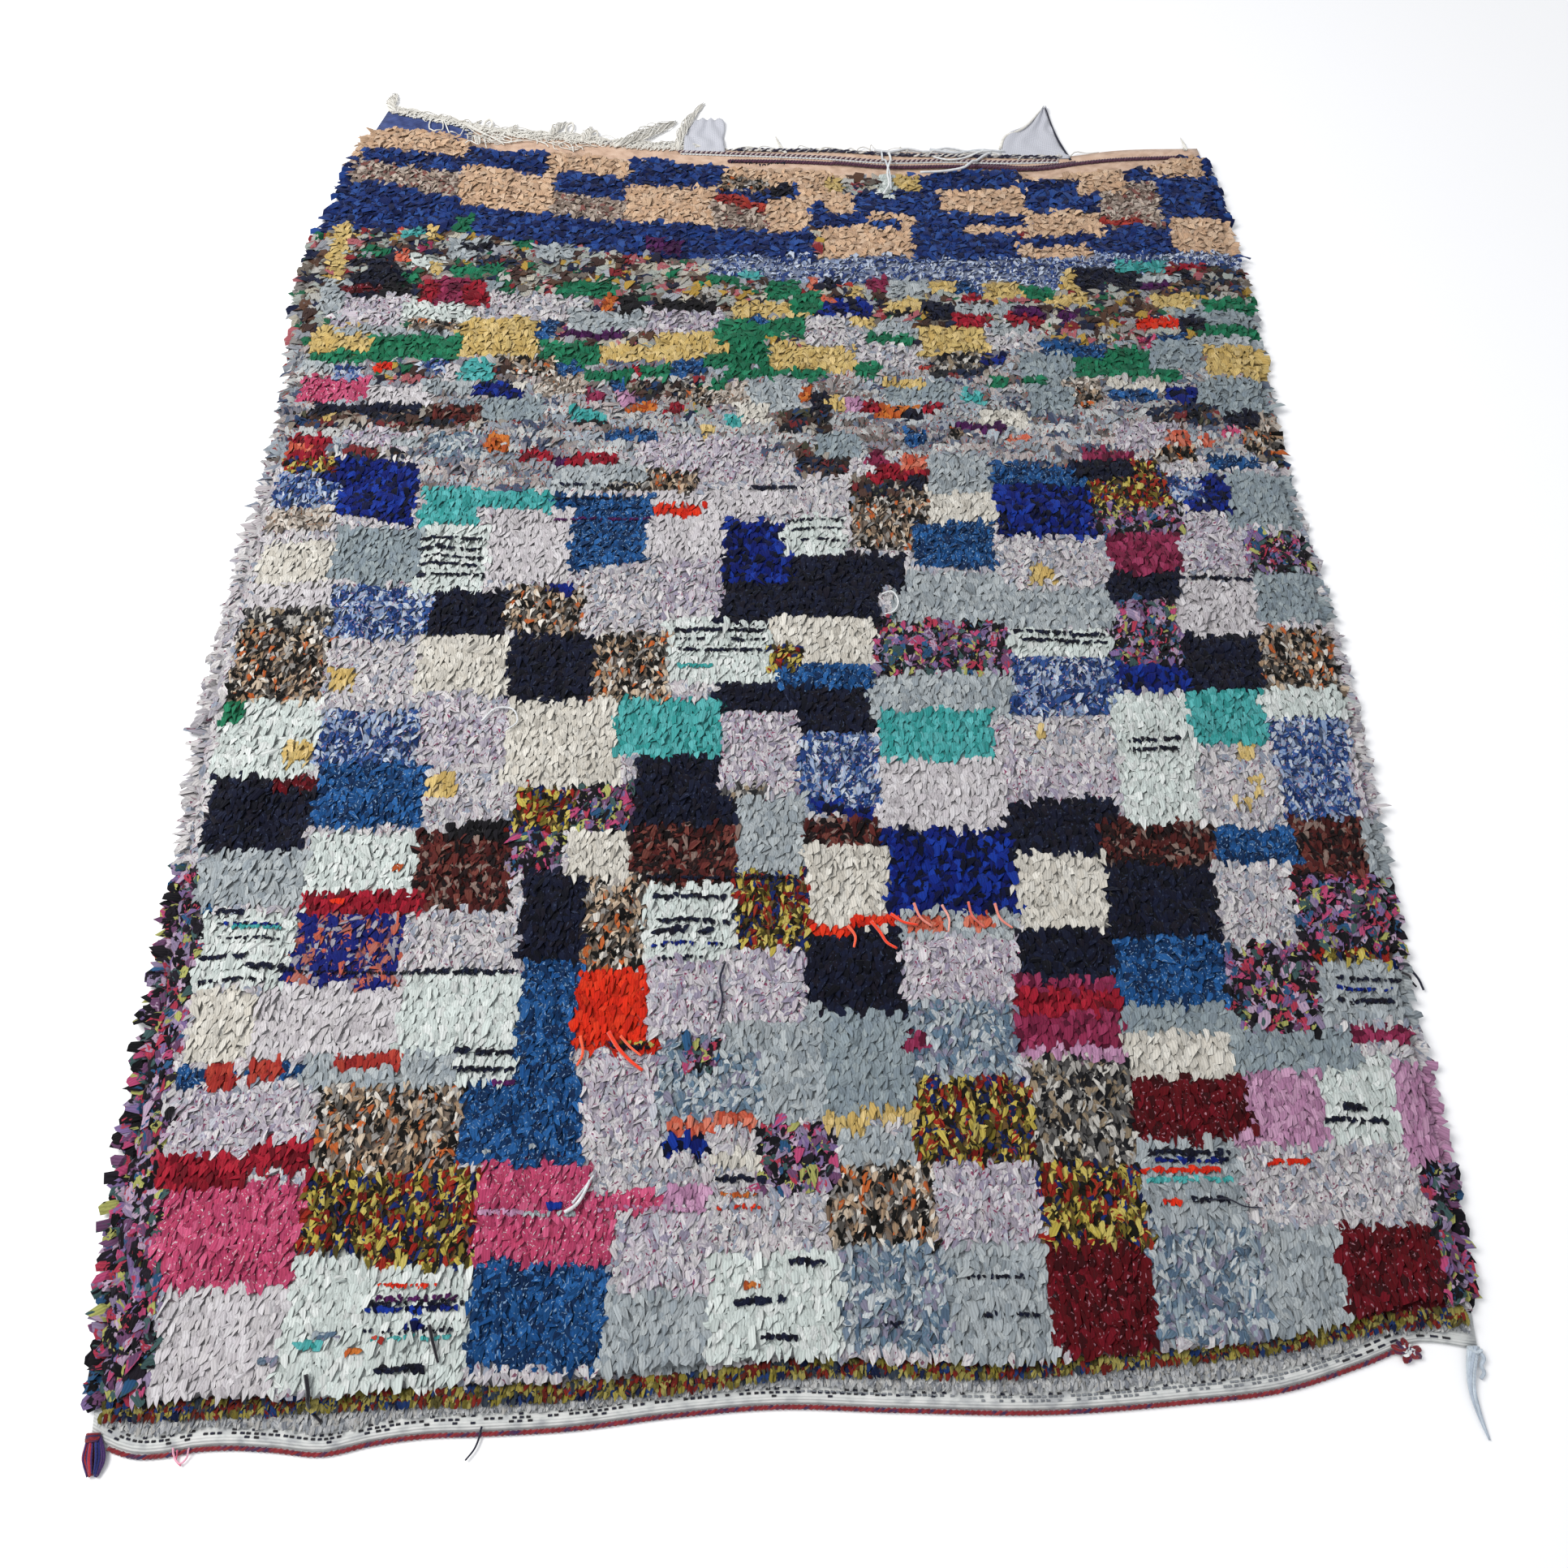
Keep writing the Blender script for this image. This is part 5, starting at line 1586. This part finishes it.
def build_corner_tail():
    """A torn strip knotted at the near right corner, with one long tail on the floor."""
    draw = np.random.default_rng(6)
    places = [(0.7390, 0.074, 0.0060), (0.7320, 0.052, 0.0054), (0.7285, 0.030, 0.0044),
              (0.7310, 0.006, 0.0032), (0.7365, -0.017, 0.0016)]
    spots = [(x + CHART_SHIFT[0], y + CHART_SHIFT[1], z) for x, y, z in places]
    centre = run_through(spots, TAIL_POINTS)
    share = np.linspace(0, 1, TAIL_POINTS)[:, None]
    narrow = 1 - 0.88 * share
    paths = []
    radii = []
    for k in range(TAIL_STRANDS):
        angle = math.tau * k / TAIL_STRANDS + 1.6 * share
        swell = 0.0062 * narrow * draw.uniform(0.5, 1.0)
        swing = [np.cos(angle) * swell, share * 0, np.sin(angle) * swell * 0.35]
        paths.append(centre + np.concatenate(swing, 1))
        radii.append(draw.uniform(0.0022, 0.0030))
    tail = lay_yarns("corner_tail_strip", "ribbon", paths, radii, sides=6, taper=0.15)
    dress(tail, "cotton_warp", "warp_tail")
    top = centre[0]
    knot = run_through([top + (0.004, -0.004, 0), top + (0.009, -0.012, -0.001),
                        top + (0.005, -0.019, -0.002),
                        top + (0.007, -0.026, -0.003), top + (0.002, -0.032, -0.003)], TAIL_POINTS)
    wrap = run_through([top + (-0.006, -0.002, 0.001), top + (0.000, -0.006, 0.003),
                        top + (0.008, -0.004, 0.001)], TAIL_POINTS)
    knotted = lay_yarns("corner_tail_knot", "ribbon", [knot, wrap], [0.0028, 0.0026], sides=6, taper=0.7)
    dress(knotted, "cotton_warp")


GAUZE_PITCH = 0.0024


def gauze_material():
    """Open cotton gauze, drawn at 2.4 mm between threads where the real cloth has 1 mm."""
    material, tree, shader = new_material("cotton_gauze_undyed", 0.85, 0.2)
    place = add_node(tree, "ShaderNodeTexCoord").outputs["Object"]
    scale = WAVE_PERIOD_AT_SCALE_ONE / GAUZE_PITCH
    warp, weft = (add_node(tree, "ShaderNodeTexWave", {
        "bands_direction": way, "Scale": scale, "Distortion": 1.5}, {"Vector": place}) for way in "XY")
    net = add_node(tree, "ShaderNodeMath", {"operation": "MAXIMUM"},
                   {0: warp.outputs["Fac"], 1: weft.outputs["Fac"]})
    tone = add_node(tree, "ShaderNodeValToRGB", {"stops": [
        (0.0, linear("#888B94")), (0.6, linear("#ABADB6")), (1.0, linear("#C0C1C8"))]}, {0: net.outputs[0]})
    tree.links.new(tone.outputs["Color"], shader.inputs["Base Color"])
    bump = add_node(tree, "ShaderNodeBump", {"Strength": 0.5, "Distance": 0.0006},
                    {"Height": net.outputs[0]})
    tree.links.new(bump.outputs[0], shader.inputs["Normal"])
    return material


def build_flap(name, node, sides, material):
    """A torn flap of gauze: one thin sheet with soft pleats, lying on the floor from the far edge."""
    left, right = (run_through(from_chart(side, 0.002), FLAP_CELLS_ALONG + 1) for side in sides)
    bm = bmesh.new()
    bmesh.ops.create_grid(bm, x_segments=FLAP_CELLS_ACROSS, y_segments=FLAP_CELLS_ALONG, size=0.5)
    for vert in bm.verts:
        across = vert.co.x + 0.5
        row = round((vert.co.y + 0.5) * FLAP_CELLS_ALONG)
        place = left[row] * (1 - across) + right[row] * across
        beyond = place[1] - far_edge(place[0] - CHART_SHIFT[0])
        drift = 4 * noise.noise(Vector(place) * 30)
        pleat = 0.5 + 0.5 * math.sin(15 * across + 5 * row / FLAP_CELLS_ALONG + drift)
        rest = WEAVE_THICKNESS * min(max(1 - beyond / 0.010, 0.0), 1.0)
        vert.co = Vector((place[0], place[1], FLAP_FOOT + rest + FLAP_PLEAT * pleat * min(1.0, row / 5)))
    bmesh.ops.recalc_face_normals(bm, faces=bm.faces)
    bmesh.ops.solidify(bm, geom=list(bm.faces), thickness=FLAP_THICKNESS)
    flap = piece_from(bm, name, material)
    dress(flap, "ground_cloth", node)


def build_flaps():
    gauze = gauze_material()
    build_flap("gauze_flap_left", "warp_flap_left", LEFT_FLAP, gauze)
    build_flap("gauze_flap_right", "warp_flap_right", RIGHT_FLAP, gauze)
    edge = run_through(from_chart(RIGHT_FLAP[1], 0.004), 24)
    dress(lay_yarns("flap_dark_edge", "dark", [edge], [0.0026], taper=0.5), "ground_cloth")
    roll = run_through(from_chart(RIGHT_FLAP[0][1:], 0.0045), 24)
    dress(lay_yarns("flap_rolled_edge", "cotton", [roll], [0.0034], taper=0.4), "ground_cloth")


FLOOR_HALF = 6.0
FLOOR_DROP = 0.0003
ROOM_LIGHT = 0.84
LAMP_SIZE = 1.8
LAMP_POWER = 100
LAMP_COLOUR = (1.0, 0.985, 0.96)
LAMP_PLACE = (-1.8, 0.1, 2.7)


def add_stage():
    """Pale floor, a wide soft lamp at the left and even room light."""
    bm = bmesh.new()
    bmesh.ops.create_grid(bm, x_segments=1, y_segments=1, size=FLOOR_HALF)
    for vert in bm.verts:
        vert.co.z = -FLOOR_DROP
    material, tree, shader = new_material("matte_paper_backdrop", 0.9, 0.0)
    grain = add_node(tree, "ShaderNodeTexNoise", {"Scale": 3.0, "Detail": 2.0})
    tone = add_node(tree, "ShaderNodeValToRGB", {"stops": [
        (0.3, linear("#EDEDEE")), (0.7, linear("#F3F3F3"))]}, {0: grain.outputs[0]})
    tree.links.new(tone.outputs[0], shader.inputs["Base Color"])
    piece_from(bm, "floor", material)
    world = bpy.data.worlds.new("studio_light")
    world.use_nodes = True
    world.node_tree.nodes["Background"].inputs["Color"].default_value = (*linear("#F4F6FA"), 1.0)
    world.node_tree.nodes["Background"].inputs["Strength"].default_value = ROOM_LIGHT
    bpy.context.scene.world = world
    lamp = bpy.data.lights.new("soft_box", "AREA")
    lamp.shape = "DISK"
    lamp.size = LAMP_SIZE
    lamp.energy = LAMP_POWER
    lamp.color = LAMP_COLOUR
    lamp_object = bpy.data.objects.new("soft_box", lamp)
    lamp_object.location = LAMP_PLACE
    lamp_object.rotation_euler = (-lamp_object.location).to_track_quat("-Z", "Y").to_euler()
    bpy.context.scene.collection.objects.link(lamp_object)
    bpy.context.scene.view_settings.view_transform = "Standard"


def add_camera():
    data = bpy.data.cameras.new("camera")
    data.sensor_width = SENSOR_WIDTH
    data.lens = SENSOR_WIDTH * FOCAL_PIXELS / IMAGE_SIZE
    data.shift_x = (IMAGE_SIZE / 2 - PRINCIPAL_COLUMN) / IMAGE_SIZE
    data.clip_end = 50.0
    camera = bpy.data.objects.new("camera", data)
    camera.location = (CHART_SHIFT[0], CHART_SHIFT[1], EYE_HEIGHT)
    camera.rotation_euler = (TILT_FROM_STRAIGHT_DOWN, 0.0, 0.0)
    bpy.context.scene.collection.objects.link(camera)
    bpy.context.scene.camera = camera


add_camera()
add_stage()
ground = build_ground()
pile = build_pile()
# Flat size: the mean width over the selvedges' rag ends, and the rug's whole length
build_edging()
build_far_rows()
build_fringe()
build_loose_yarns()
build_corner_tassel()
build_cord_end_knot()
build_corner_tail()
build_flaps()
